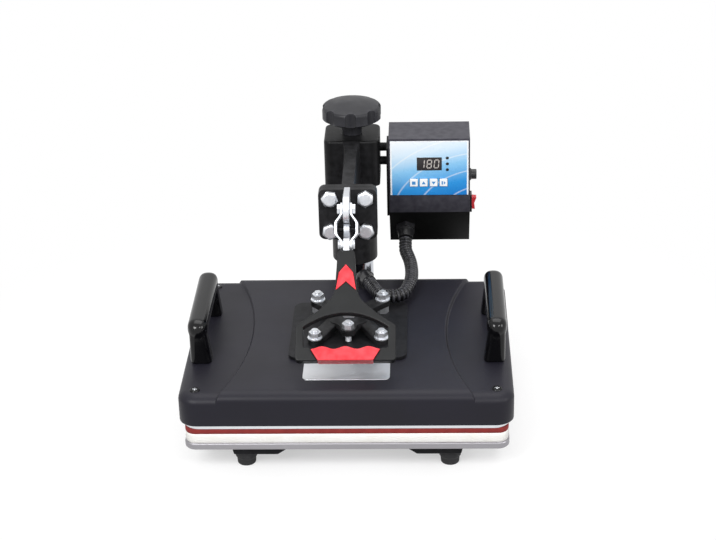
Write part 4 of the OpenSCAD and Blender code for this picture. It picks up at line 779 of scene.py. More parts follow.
class Assembly:
    """A group of pieces of the press, with tables of the CAD nodes that are only dressed."""

    # Nodes whose edges are eased: the finish, and what else ease takes
    eased: ClassVar[dict[str, tuple]] = {}
    # Nodes that keep their shape, with their finishes
    plain: ClassVar[dict[str, Coat]] = {}
    # Edges sharper than this many degrees stay sharp in the shading of an eased node
    crease: ClassVar[float] = 38

    def build(self) -> None:
        """Dresses the nodes of both tables."""
        for node, how in self.eased.items():
            self.ease(node, *how)
        for node, coat in self.plain.items():
            self.dress(node, coat)

    def dress(self, node: str, coat: Coat) -> None:
        """Gives a CAD node a finish, with its shape as it is.

        Args:
            node: The CAD node.
            coat: Its finish.
        """
        part = frame["nodes"][node]
        part.data.materials.clear()
        part.data.materials.append(coat.material())
        LOG.info("%s: %s", node, coat.value.name)

    def copy_of(self, node: str) -> bpy.types.Object:
        """Copies a CAD node's mesh into a new piece, with its loose triangles joined.

        Args:
            node: The CAD node.

        Returns:
            The new piece.
        """
        shape = bmesh.new()
        shape.from_mesh(frame["nodes"][node].data)
        bmesh.ops.remove_doubles(shape, verts=shape.verts, dist=CAD_WELD)
        bmesh.ops.dissolve_degenerate(shape, edges=shape.edges, dist=CAD_SLIVER)
        bmesh.ops.dissolve_limit(shape, angle_limit=FLAT, verts=shape.verts, edges=shape.edges)
        mesh = bpy.data.meshes.new(node + "_finished")
        shape.to_mesh(mesh)
        shape.free()
        return new_piece(node + "_finished", mesh)

    def stand_for(self, piece: bpy.types.Object, node: str, coat: Coat) -> bpy.types.Object:
        """Lets a piece stand for a CAD node, on its body.

        Args:
            piece: The piece.
            node: The CAD node.
            coat: The piece's finish.

        Returns:
            The piece.
        """
        slots = {part["node"]: part["material_slot"] for part in frame["record"]["subparts"]}
        self.add(piece, frame["nodes"][node]["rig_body"], slots[node], coat)
        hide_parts(node)
        return piece

    def add(self, piece: bpy.types.Object, body: str, slot: str, coat: Coat) -> bpy.types.Object:
        """Lets a new piece ride on a body.

        Args:
            piece: The piece.
            body: The CAD body.
            slot: The record's slot of the piece; not used.
            coat: The piece's finish.

        Returns:
            The piece.
        """
        piece.data.materials.clear()
        piece.data.materials.append(coat.material())
        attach(piece, body)
        LOG.info("%s on %s: %s, %d faces", piece.name, body, coat.value.name, len(piece.data.polygons))
        return piece

    def ease(
        self, node: str, coat: Coat, edge_mm: float, steps: int = 2, angle: float = 32
    ) -> bpy.types.Object:
        """Replaces a CAD node by a copy with eased edges, which are marked for wear.

        Args:
            node: The CAD node.
            coat: Its finish.
            edge_mm: How far the edges are broken.
            steps: Facets across an edge.
            angle: Edges sharper than this many degrees are eased.

        Returns:
            The new piece.
        """
        piece = self.copy_of(node)
        # The bevel gives its faces the second of two like materials, by which they are found
        for _ in range(2):
            piece.data.materials.append(coat.material())
        bevel = piece.modifiers.new("eased edges", "BEVEL")
        bevel.width = edge_mm * MM
        bevel.segments = steps
        bevel.limit_method = "ANGLE"
        bevel.angle_limit = math.radians(angle)
        bevel.material = 1
        settle_modifiers(piece)
        self.mark_edges(piece.data)
        smooth_shading(piece.data, self.crease)
        flat = piece.modifiers.new("flat faces", "WEIGHTED_NORMAL")
        flat.keep_sharp = True
        settle_modifiers(piece)
        return self.stand_for(piece, node, coat)

    def mark_edges(self, mesh: bpy.types.Mesh) -> None:
        """Writes the attribute that wear follows: 1 on the faces that ease an edge.

        Args:
            mesh: The mesh, whose eased edges have the second material.
        """
        edge = mesh.attributes.new("edge", "FLOAT", "POINT")
        values = [0.0] * len(mesh.vertices)
        for face in mesh.polygons:
            if face.material_index == 1:
                for number in face.vertices:
                    values[number] = 1.0
            face.material_index = 0
        edge.data.foreach_set("value", values)

    def mould(self, node: str, coat: Coat, grid_mm: float, passes: int) -> bpy.types.Object:
        """Replaces a CAD node by a copy whose edges and inner corners flow together, as moulded.

        Args:
            node: The CAD node.
            coat: Its finish.
            grid_mm: Size of the copy's faces.
            passes: How often it is smoothed.

        Returns:
            The new piece.
        """
        piece = self.copy_of(node)
        flow_together(piece, grid_mm, passes)
        return self.stand_for(piece, node, coat)


class Base(Assembly):
    """The legs, feet, post and their fasteners."""

    eased = {
        "leg_left": (Coat.BLACK, 1.6, 3),
        "leg_right": (Coat.BLACK, 1.6, 3),
        "post_plate": (Coat.BLACK, 0.8),
        "feet": (Coat.RUBBER, 1.4, 3),
        "post": (Coat.CHROME, 0.6),
        "post_bolts": (Coat.ZINC, 0.5),
    }
    plain = {"post_nut": Coat.BRONZE}


@dataclass
class LowerPlaten(Assembly):
    """The aluminium lower platen with the underlay and the mat that lie on it."""

    eased = {"lower_platen": (Coat.CAST, 2.4, 4)}
    corner: float = 13 * MM
    corner_steps: int = 14
    # How far a pad's cut edge bellies out, and on how many rings of points
    bulge: float = 0.8 * MM
    rings: int = 9
    # How much the edge waves, as a share of the pad's size, and how far the wave goes on from point to point
    wave: float = 0.00012
    wave_step: float = 0.7
    crease_angle: float = 50

    def pad(self, node: str, coat: Coat) -> None:
        """Makes a soft pad, whose cut edge bellies out and waves a little.

        Args:
            node: The CAD solid that it stands for.
            coat: Its finish.
        """
        low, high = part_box(node)
        middle = (low + high) / 2
        size = high - low

        def ring_at(share: float) -> list[Point]:
            """Lists a ring of the pad's skin.

            Args:
                share: How high it lies, as a share of the pad's thickness.

            Returns:
                The ring's points.
            """
            draw = self.bulge * (2 * share - 1) ** 4
            outline = plate_outline(
                size.x - 2 * draw, size.y - 2 * draw, self.corner - draw, self.corner_steps
            )
            ring = []
            for number, (x, y) in enumerate(outline):
                shrink = 1 - self.wave * math.sin(self.wave_step * number) * math.sin(math.pi * share)
                ring.append((middle.x + x * shrink, middle.y + y * shrink, low.z + size.z * share))
            return ring

        def build(shape: bmesh.types.BMesh) -> None:
            """Adds the pad's skin, ring by ring from its lower face."""
            add_loft(shape, [ring_at(i / (self.rings - 1)) for i in range(self.rings)])

        piece = make_piece(node + "_pad", build)
        smooth_shading(piece.data, self.crease_angle)
        self.stand_for(piece, node, coat)

    def build(self) -> None:
        """Dresses the platen and makes the two pads."""
        super().build()
        self.pad("underlay", Coat.FELT)
        self.pad("silicone_mat", Coat.SPONGE)


class PressureScrew(Assembly):
    """The lobed knob, its screw and the washer that lifts the head."""

    eased = {"pressure_knob": (Coat.KNOB, 1.0, 3, 40)}
    plain = {"pressure_screw": Coat.ZINC, "thrust_washer": Coat.BRONZE}


@dataclass
class CastArm(Assembly):
    """The arm that swings on the post, with the toggle's fixed pieces. Sizes are in millimetres."""

    eased = {
        "arm_casting": (Coat.CASTING, 1.2, 3, 40),
        "bracket_plate": (Coat.CASTING, 1.0, 3),
        "guide_arm": (Coat.CASTING, 0.8),
        "toggle_tongue": (Coat.ZINC, 0.6),
        "pivot_bolt": (Coat.ZINC, 0.5),
    }
    plain = {"post_bushes": Coat.BRONZE, "guide_bush": Coat.BRONZE}
    # How far each of the bracket's bolts is turned, in degrees, by its side in X and Z
    bolt_turns: tuple[tuple[float, float], ...] = ((-22.0, 9.0), (14.0, -27.0))
    # Where the chamfer of a bolt's head starts, from the bolt's axis, and how much it falls off outwards
    chamfer_start: float = 7.4
    chamfer_fall: float = 0.6
    # Size of the bolts' faces, and how often they are smoothed
    bolt_grid: float = 0.5
    bolt_passes: int = 3

    def hex_bolts(self, node: str) -> None:
        """Replaces the bolts by copies that are turned as each was tightened, with chamfered heads.

        Args:
            node: The CAD node with four bolts that point along Y.
        """
        piece = self.mould(node, Coat.ZINC, self.bolt_grid, self.bolt_passes)
        points = [vertex.co for vertex in piece.data.vertices]
        front = min(p.y for p in points)
        middle_z = (min(p.z for p in points) + max(p.z for p in points)) / 2
        for side_x, turns in enumerate(self.bolt_turns):
            for side_z, degrees in enumerate(turns):
                bolt = [p for p in points if (p.x > 0) == side_x and (p.z > middle_z) == side_z]
                axis_x = (min(p.x for p in bolt) + max(p.x for p in bolt)) / 2
                axis_z = (min(p.z for p in bolt) + max(p.z for p in bolt)) / 2
                turn = Matrix.Rotation(math.radians(degrees), 4, "Y")
                for p in bolt:
                    arm = Vector((p.x - axis_x, 0, p.z - axis_z))
                    out = arm.length / MM - self.chamfer_start
                    p.y = max(p.y, front + self.chamfer_fall * out * MM)
                    p.xz = (Vector((axis_x, 0, axis_z)) + turn @ arm).xz

    def build(self) -> None:
        """Dresses the arm and makes its bolts."""
        super().build()
        self.hex_bolts("bracket_bolts")


class Segment(Enum):
    """A seven-bar figure's bars: the middle in units of half its width, and whether the bar lies flat."""

    TOP = (0.0, 2.0, True)
    UPPER_RIGHT = (1.0, 1.0, False)
    LOWER_RIGHT = (1.0, -1.0, False)
    BOTTOM = (0.0, -2.0, True)
    LOWER_LEFT = (-1.0, -1.0, False)
    UPPER_LEFT = (-1.0, 1.0, False)
    MIDDLE = (0.0, 0.0, True)


@dataclass
class ControlBox(Assembly):
    """The control box with its panel, display, keys and switch."""

    eased = {
        "box_shell": (Coat.BOX, 1.1, 3),
        "box_bracket": (Coat.BLACK, 0.6),
        "indicator_lenses": (Coat.LENS, 0.4),
        "fuse_holder": (Coat.NYLON, 0.8, 3),
        "rocker_bezel": (Coat.NYLON, 0.5),
        "power_rocker": (Coat.RED, 0.5),
        "box_gland": (Coat.NYLON, 0.8, 3),
        **{f"button_{number}": (Coat.KEYS, 0.7, 3) for number in range(1, 5)},
    }
    plain = {"control_panel": Coat.FILM, "display_window": Coat.WINDOW, "control_board": Coat.LAMINATE}
    figures: str = "180"
    bars: tuple[tuple[str, str], ...] = (
        ("0", "TOP UPPER_RIGHT LOWER_RIGHT BOTTOM LOWER_LEFT UPPER_LEFT"),
        ("1", "UPPER_RIGHT LOWER_RIGHT"),
        ("8", "TOP UPPER_RIGHT LOWER_RIGHT BOTTOM LOWER_LEFT UPPER_LEFT MIDDLE"),
    )
    figure_half: float = 2.7 * MM
    figure_pitch: float = 9.2 * MM
    # Half a bar's thickness, the gap at its ends, and how far a figure leans for its height
    bar: float = 0.62 * MM
    bar_gap: float = 0.3 * MM
    lean: float = 0.1
    # How far the figures and the marks stand out, and how thick they are
    figure_out: float = 0.12 * MM
    figure_thick: float = 0.3 * MM
    mark_out: float = 0.08 * MM
    mark_thick: float = 0.2 * MM
    # The plain marks of the four keys, as outlines in X and Z in millimetres from a key's middle
    marks: tuple[tuple[Outline, ...], ...] = (
        (((-2.2, -2.2), (2.2, -2.2), (2.2, 2.2), (-2.2, 2.2)),),
        (((-2.6, -1.8), (2.6, -1.8), (0, 2.4)),),
        (((-2.6, 1.8), (0, -2.4), (2.6, 1.8)),),
        (((-2.4, -2.4), (-0.7, -2.4), (-0.7, 2.4), (-2.4, 2.4)), ((0.5, -2.4), (2.6, 0), (0.5, 2.4))),
    )

    def slab(self, shape: bmesh.types.BMesh, outline: Outline, front: float, thick: float) -> None:
        """Adds a thin solid that faces the front, from its outline in X and Z."""
        add_loft(shape, [[(x, y, z) for x, z in outline] for y in (front, front + thick)])

    def bar_outline(self, segment: Segment) -> Outline:
        """Lists the points of a pointed bar, from the middle of its figure.

        Args:
            segment: The bar.

        Returns:
            The points in X and Z, leaning with the figure.
        """
        across, up, flat = segment.value
        tip, thick = self.figure_half - self.bar_gap, self.bar
        neck = tip - thick
        points = [(-tip, 0), (-neck, -thick), (neck, -thick), (tip, 0), (neck, thick), (-neck, thick)]
        outline = []
        for first, second in points:
            x, z = (first, second) if flat else (second, first)
            height = up * self.figure_half + z
            outline.append((across * self.figure_half + x + self.lean * height, height))
        return outline

    def display_figures(self) -> None:
        """Makes the figures as pale bars on the display's face."""
        low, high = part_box("display_window")
        middle = (low + high) / 2

        def build(shape: bmesh.types.BMesh) -> None:
            """Adds the bars of each figure."""
            for place, figure in enumerate(self.figures):
                shift = middle.x + (place - (len(self.figures) - 1) / 2) * self.figure_pitch
                for name in dict(self.bars)[figure].split():
                    outline = [(shift + x, middle.z + z) for x, z in self.bar_outline(Segment[name])]
                    self.slab(shape, outline, low.y - self.figure_out, self.figure_thick)

        self.add(make_piece("display_figures", build), "swing_head", "display_plastic", Coat.FIGURES)

    def key_mark(self, number: int, outlines: Sequence[Outline]) -> None:
        """Prints the plain mark on a key.

        Args:
            number: The key's number.
            outlines: The mark's outlines.
        """
        node = f"button_{number}"
        low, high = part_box(node)
        middle = (low + high) / 2

        def build(shape: bmesh.types.BMesh) -> None:
            """Adds each outline as a thin layer."""
            for outline in outlines:
                points = [(middle.x + x * MM, middle.z + z * MM) for x, z in outline]
                self.slab(shape, points, low.y - self.mark_out, self.mark_thick)

        self.add(make_piece(f"key_mark_{number}", build), node, "button_plastic", Coat.INK)

    def build(self) -> None:
        """Dresses the box and adds the figures and the marks on the keys."""
        super().build()
        self.display_figures()
        for number, outlines in enumerate(self.marks, 1):
            self.key_mark(number, outlines)


@dataclass
class Hose(Assembly):
    """The ribbed conduit from the control box to the cover."""

    radius: float = 8.5 * MM
    rib_depth: float = 1.5 * MM
    pitch: float = 5.0 * MM
    # Rings of points for each rib, and points of the curve for each span of the route
    rib_steps: int = 8
    span_steps: int = 12
    # The route's points in millimetres, from the box's gland to the cover's
    route: tuple[tuple[float, float, float], ...] = (
        (67.5, 138.614, 148.477), (67.5, 124.154, 139.538), (70.09, 113.36, 136.68), (73, 101.5, 134.5),
        (74.66, 90.08, 132.59), (75.5, 78.5, 131), (75.47, 66.41, 129.62), (74.5, 54.5, 128.5),
        (72.2, 42.93, 127.61), (69.5, 33, 127), (65.3, 22.1, 126.8), (57, 15.6, 126.5),
        (46.4, 15.2, 126.1), (37.3, 21.3, 125.3), (32.6, 30.5, 124.3), (27.3892, 44.2082, 123.3),
        (21.5749, 60.183, 123.3),
    )
    # Two points on the route, in metres: the hose's part by the swinging head ends at the first, and its part
    # by the platen starts at the second
    bend: tuple[tuple[float, float, float], ...] = ((0.0675, 0.1386, 0), (0.0291, 0.0618, 0))

    def curve(self) -> list[Vector]:
        """Runs a smooth curve through the route's points.

        Returns:
            The curve's points, in metres.
        """
        stops = [Vector(point) * MM for point in self.route]
        # The first and the last stop are their own neighbours
        chain = [stops[0], *stops, stops[-1]]
        line = []
        for before, start, end, after in zip(chain, chain[1:], chain[2:], chain[3:]):
            for step in range(self.span_steps):
                share = step / self.span_steps
                square = (2 * before - 5 * start + 4 * end - after) * share ** 2
                cube = (3 * start - 3 * end + after - before) * share ** 3
                line.append(0.5 * (2 * start + (end - before) * share + square + cube))
        line.append(stops[-1])
        return line

    def build(self) -> None:
        """Makes the hose along its route."""
        line = self.curve()
        piece = RibbedTubeTree().run("ribbed_hose", line, True, Coat.CONDUIT, {
            "Radius": self.radius, "Rib Depth": self.rib_depth, "Rib Pitch": self.pitch,
            "Step": self.pitch / self.rib_steps,
        })
        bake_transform(piece)
        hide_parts("hose")


@dataclass
class Carriage(Assembly):
    """The spindle, the spider with its studs, and the plate on the cover."""

    eased = {
        "spindle": (Coat.ZINC, 0.6),
        "spindle_nut": (Coat.ZINC, 0.7),
        "spider": (Coat.CASTING, 1.2, 3, 40),
        "spider_studs": (Coat.ZINC, 0.6, 2),
        "levelling_screw": (Coat.ZINC, 0.6),
        "mounting_plate": (Coat.BLACK, 1.0, 3),
    }
    stud_radius: float = 4.0 * MM
    # From the outline of the studs and their washers to a stud's axis
    stud_in: float = 9.0 * MM
    # How much lower the front studs end than the rear ones
    front_drop: float = 11.0 * MM
    level_radius: float = 3.5 * MM
    crest: float = 0.35 * MM
    # How far below a stud's end its thread starts, and how high it winds in how many turns
    thread_in: float = 2.8 * MM
    thread_height: float = 2.5 * MM
    stud_turns: float = 2.4
    # The same for the thread under the spider, from the screw's lower end
    low_in: float = 0.3 * MM
    low_height: float = 6.2 * MM
    # A turn of the levelling screw
    level_pitch: float = 1.0 * MM

    def threads(self) -> None:
        """Winds the threads that show on the ends of the studs and along the levelling screw."""
        low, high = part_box("spider_studs")
        ends = [
            (x, y, high.z - drop - self.thread_in)
            for x in (low.x + self.stud_in, high.x - self.stud_in)
            for y, drop in ((low.y + self.stud_in, self.front_drop), (high.y - self.stud_in, 0.0))
        ]
        foot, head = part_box("levelling_screw")
        x, y = ((foot + head) / 2).xy
        tree = ThreadTree()
        for name, starts, radius, height, turns in (
            ("stud_threads", ends, self.stud_radius, self.thread_height, self.stud_turns),
            ("levelling_thread_low", [(x, y, foot.z + self.low_in)], self.level_radius, self.low_height,
             self.low_height / self.level_pitch),
            ("levelling_thread_top", [(x, y, head.z - self.thread_in)], self.level_radius,
             self.thread_height, self.thread_height / self.level_pitch),
        ):
            piece = tree.run(name, starts, False, Coat.ZINC, {
                "Radius": radius, "Turns": turns, "Height": height, "Crest": self.crest,
            })
            self.add(piece, "platen", "zinc_steel", Coat.ZINC)

    def build(self) -> None:
        """Dresses the carriage and adds its threads."""
        super().build()
        self.threads()


@dataclass
class HeatPlaten(Assembly):
    """The heat plate under its pressed cover, with the side handles. Sizes are in millimetres."""

    eased = {"heat_plate": (Coat.MILLED, 1.0, 3), "cover_gland": (Coat.NYLON, 0.8, 3)}
    plain = {"insulation": Coat.FIBRE, "heating_element": Coat.SHEATH, "thermocouple": Coat.SHEATH}
    width: float = 390
    depth: float = 310
    corner: float = 22
    corner_steps: int = 12
    # The cover's lower edge and its outer top above the floor, and how much higher its middle is
    lower_edge: float = 71
    side_top: float = 108.3
    rise: float = 4
    # From the cover's middle line to a curved step, half-way along it and at its ends, and half its width
    waist: float = 118
    waist_end: float = 149
    step_half: float = 1.5
    # Columns of faces from the middle line to the step, over it and on to the corner
    column_steps: tuple[int, int, int] = (8, 8, 5)
    # How much wider than the step its close columns lie
    step_margin: float = 1.4
    row_steps: int = 56
    # The section of the cover's rim from the inside outwards: in from the side, and above the lower edge
    rim: tuple[tuple[float, float], ...] = (
        (3, 8), (3, 0.5), (2.5, 0), (0.6, 0), (0.15, 0.2), (0, 0.8), (0, 12),
    )
    # The rolled edge's width and drop, its facets, and those from there to the end of the corner
    roll: float = 14
    roll_drop: float = 10
    roll_steps: int = 8
    inner_steps: int = 3
    handle_in: float = 18
    handle_radius: float = 12
    handle_length: float = 150
    handle_rise: float = 43
    # How square the bar's section is: 2 is round
    handle_square: float = 2.6
    handle_sides: int = 40
    # Length of the bar's round ends, their rings, and how many degrees they turn in to the tip
    handle_end: float = 14
    end_steps: int = 10
    end_turn: float = 89
    # The legs' place, plan size and corners, and how far and how high their feet spread
    handle_leg_in: float = 14
    handle_leg: tuple[float, float] = (20, 23)
    handle_leg_corner: float = 6
    handle_spread: float = 5
    handle_foot: float = 2
    # Radius of the heads of the cover's screws in CAD, and how many times wider the photographed ones are
    screw_head: float = 5
    screw_wider: float = 1.25
    # Points this little below the cover's top still belong to a screw's head
    screw_under: float = 0.01
    # A screw's cross recess: length, width and thickness
    recess: tuple[float, float, float] = (5.6, 1.3, 0.16)
    label_size: tuple[float, float] = (102, 46)
    label_corner: float = 7
    label_y: float = -97
    # The section of the label's edge: in from the side, and above the cover
    label_edge: tuple[tuple[float, float], ...] = ((0, 0), (0, 0.35), (0.12, 0.5))

    def arc_at(self, y: float) -> float:
        """Gives the X of the curved step on the right.

        Args:
            y: Place along, from the cover's middle.

        Returns:
            The distance from the cover's middle line.
        """
        bulge = self.waist_end - self.waist
        radius = ((self.depth / 2) ** 2 + bulge ** 2) / (2 * bulge)
        return self.waist + radius - math.sqrt(radius ** 2 - y ** 2)

    def top_at(self, x: float, y: float) -> float:
        """Gives the height of the cover's upper face at a place from its middle."""
        inside = self.arc_at(y) - abs(x)
        return self.side_top + self.rise * ease_between(inside, -self.step_half, self.step_half)

    def columns(self, y: float) -> list[float]:
        """Lists the X of the cover's columns of points, close together over the curved steps.

        Args:
            y: Place along, from the cover's middle.

        Returns:
            The columns, from left to right.
        """
        arc = self.arc_at(y)
        near = self.step_margin * self.step_half
        stops = (0, arc - near, arc + near, self.width / 2 - self.corner)
        right = []
        for start, end, count in zip(stops, stops[1:], self.column_steps):
            right += [start + (end - start) * i / count for i in range(1, count + 1)]
        return [-x for x in reversed(right)] + [0.0] + right

    def profile(self) -> list[tuple[float, float | None, float]]:
        """Lists the cover's edge section, from inside its rim up and over to the flat top.

        Returns:
            For each point its distance in from the side, a fixed height if it has one, and its drop
            below the top.
        """
        points: list[tuple[float, float | None, float]] = [(x, self.lower_edge + up, 0) for x, up in self.rim]
        for step in range(self.roll_steps + 1):
            turn = math.radians(90 * step / self.roll_steps)
            points.append((self.roll * (1 - math.cos(turn)), None, self.roll_drop * (1 - math.sin(turn))))
        for step in range(1, self.inner_steps + 1):
            points.append((self.roll + (self.corner - self.roll) * step / self.inner_steps, None, 0))
        return points

    def cover(self) -> None:
        """Makes the cover: rolled edges all round and a raised middle between two curved steps."""
        half_w, half_d = self.width / 2, self.depth / 2
        flat_w, flat_d = half_w - self.corner, half_d - self.corner
        rows = [flat_d * (2 * i / self.row_steps - 1) for i in range(self.row_steps + 1)]
        turns = [math.radians(90 * i / self.corner_steps) for i in range(self.corner_steps + 1)]

        def spot(x: float, y: float, fixed: float | None = None, drop: float = 0) -> Point:
            """Gives one point of the skin in metres."""
            z = self.top_at(x, y) - drop if fixed is None else fixed
            return (x * MM, y * MM + PLATEN_Y, z * MM)

        def add_edge(shape: bmesh.types.BMesh, line: Callable[[float], list[tuple[float, float]]]) -> None:
            """Adds a stretch of the edge.

            Args:
                shape: The mesh that gets it.
                line: Gives the stretch's X and Y at a distance in from the side.
            """
            add_grid(shape, [
                [spot(x, y, fixed, drop) for x, y in line(inset)] for inset, fixed, drop in self.profile()
            ])

        def build(shape: bmesh.types.BMesh) -> None:
            """Adds the flat middle, the four sides and the four corners, and closes the rim.

            Args:
                shape: The mesh that gets them.
            """
            add_grid(shape, [[spot(x, y) for x in self.columns(y)] for y in rows])
            for side in (-1, 1):
                add_edge(shape, lambda inset: [
                    (x, side * (half_d - inset)) for x in self.columns(half_d - inset)
                ])
                add_edge(shape, lambda inset: [(side * (half_w - inset), y) for y in rows])
                for end in (-1, 1):
                    add_edge(shape, lambda inset: [
                        (
                            side * (flat_w + (self.corner - inset) * math.cos(turn)),
                            end * (flat_d + (self.corner - inset) * math.sin(turn)),
                        )
                        for turn in turns
                    ])
            bmesh.ops.remove_doubles(shape, verts=shape.verts, dist=WELD)
            bmesh.ops.holes_fill(shape, edges=[edge for edge in shape.edges if edge.is_boundary])

        piece = make_piece("pressed_cover", build)
        smooth_shading(piece.data, angle=45)
        self.stand_for(piece, "cover", Coat.COVER)

    def label_plate(self) -> None:
        """Makes the bare metal plate that is stuck on the cover in front of the lever."""
        width, depth = self.label_size
        base = self.side_top + self.rise

        def build(shape: bmesh.types.BMesh) -> None:
            """Adds the plate with its eased upper edge.

            Args:
                shape: The mesh that gets it.
            """
            rings = []
            for draw, up in self.label_edge:
                outline = plate_outline(width - 2 * draw, depth - 2 * draw, self.label_corner - draw)
                rings.append([
                    (x * MM, (y + self.label_y) * MM + PLATEN_Y, (base + up) * MM) for x, y in outline
                ])
            add_loft(shape, rings)

        piece = make_piece("bare_label_plate", build)
        smooth_shading(piece.data, angle=30)
        self.add(piece, "platen", "platen_aluminium", Coat.FOIL)

    def handle_bar(self) -> list[list[Point]]:
        """Lists the rings of a handle's bar, from its rounded front end to its rear end.

        Returns:
            The rings, round the bar's middle.
        """
        straight = self.handle_length / 2 - self.handle_end
        spots = []
        for step in range(self.end_steps + 1):
            turn = math.radians(self.end_turn * (1 - step / self.end_steps))
            spots.append((-straight - self.handle_end * math.sin(turn), math.cos(turn)))
        spots += [(-y, share) for y, share in reversed(spots)]

        def reach(part: float) -> float:
            """Gives a place on the squarish section from the cosine or sine of its angle."""
            return math.copysign(abs(part) ** (2 / self.handle_square), part) * self.handle_radius

        angles = [math.tau * step / self.handle_sides for step in range(self.handle_sides)]
        section = [(reach(math.cos(angle)), reach(math.sin(angle))) for angle in angles]
        return [[(x * share, y, z * share) for x, z in section] for y, share in spots]

    def handle(self, node: str, side: int) -> None:
        """Makes a side handle: a round-ended bar on two legs that spread towards the cover's middle.

        Args:
            node: The CAD node that it stands for.
            side: 1 on the right and -1 on the left.
        """
        middle = self.width / 2 - self.handle_in
        bar_z = self.side_top + self.handle_rise
        leg_w, leg_d = self.handle_leg
        foot = leg_w / 2 + self.handle_spread
        floors = ((0.0, foot), (self.handle_foot, foot), (self.handle_rise, leg_w / 2))

        def spot(x: float, y: float, z: float) -> Point:
            """Puts a point beside the right handle's middle on its own side of the cover."""
            return (side * (middle + x) * MM, y * MM + PLATEN_Y, z * MM)

        def build(shape: bmesh.types.BMesh) -> None:
            """Adds the bar and its two legs."""
            add_loft(shape, [[spot(x, y, bar_z + z) for x, y, z in ring] for ring in self.handle_bar()])
            for end in (-1, 1):
                leg_y = end * (self.handle_length / 2 - self.handle_leg_in)
                rings = []
                for up, reach in floors:
                    outline = plate_outline(leg_w / 2 + reach, leg_d, self.handle_leg_corner)
                    shift = (leg_w / 2 - reach) / 2
                    rings.append([spot(x + shift, leg_y + y, self.side_top + up) for x, y in outline])
                add_loft(shape, rings)

        piece = make_piece(node + "_moulded", build)
        flow_together(piece, grid_mm=1.0, passes=5)
        self.stand_for(piece, node, Coat.HANDLE)

    def screws(self) -> None:
        """Dresses the cover's screws, widens their heads and lays the cross recesses on them."""
        low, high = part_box("cover_screws")
        reach = self.screw_head * MM
        heads = [
            (x, y, high.z)
            for x in (low.x + reach, high.x - reach)
            for y in (low.y + reach, high.y - reach)
        ]
        screws = self.ease("cover_screws", Coat.OXIDE, 0.4)
        for vertex in screws.data.vertices:
            if vertex.co.z > (self.side_top - self.screw_under) * MM:
                x, y = min(heads, key=lambda spot: (Vector(spot) - vertex.co).length)[:2]
                vertex.co.x = x + self.screw_wider * (vertex.co.x - x)
                vertex.co.y = y + self.screw_wider * (vertex.co.y - y)
        length, width, depth = (size * MM for size in self.recess)
        piece = RecessTree().run("cover_screw_recesses", heads, False, Coat.ZINC, {
            "Length": length, "Width": width, "Depth": depth,
        })
        self.add(piece, "platen", "black_screw", Coat.ZINC)

    def build(self) -> None:
        """Makes the cover and its trim, dresses what lies under them, and makes the handles."""
        self.cover()
        self.label_plate()
        self.screws()
        super().build()
        self.handle("handle_left", -1)
        self.handle("handle_right", 1)


@dataclass
class ToggleLever(Assembly):
    """The lever with its finger loop, and the links of the toggle. Sizes are in millimetres."""

    eased = {
        "lever_blade": (Coat.ZINC, 0.5),
        "red_insert": (Coat.RED, 0.5),
        "finger_grip": (Coat.RED, 2.0, 4),
        "lever_bolt": (Coat.ZINC, 0.5),
        "link_pin": (Coat.OXIDE, 0.4),
        "push_link": (Coat.ZINC, 0.6),
    }
    # The lever's pivot and the way from it down to the lower bolt, in Y and Z
    pivot: tuple[float, float] = (-47.5, 273.7)
    way: tuple[float, float] = (-20.0, -37.0)
    # How far the cheeks bow out, where the CAD straps bend along that way, and how much further the real
    # bends reach at each end
    bow: float = 7.1
    bends: tuple[tuple[float, float], ...] = ((8.0, 14.0), (31.6, 36.6))
    bend_more: float = 3.4

    def strap(self, node: str) -> None:
        """Replaces a cheek by a copy whose sharp bends are drawn out into a round bow.

        Args:
            node: The CAD node.
        """
        piece = self.mould(node, Coat.ZINC, grid_mm=0.6, passes=4)
        down = Vector(self.way).normalized()
        for vertex in piece.data.vertices:
            along = (Vector(vertex.co.yz) / MM - Vector(self.pivot)).dot(down)
            shift = 0.0
            for sign, (start, end) in zip((1, -1), self.bends):
                sharp = min(1.0, max(0.0, (along - start) / (end - start)))
                shift += sign * (ease_between(along, start - self.bend_more, end + self.bend_more) - sharp)
            vertex.co.x += math.copysign(1.0, vertex.co.x) * self.bow * shift * MM

    def build(self) -> None:
        """Makes the loop, dresses the lever and the links, and makes the cheeks."""
        self.mould("lever_loop", Coat.LEVER, grid_mm=0.9, passes=7)
        super().build()
        self.strap("cheek_left")
        self.strap("cheek_right")


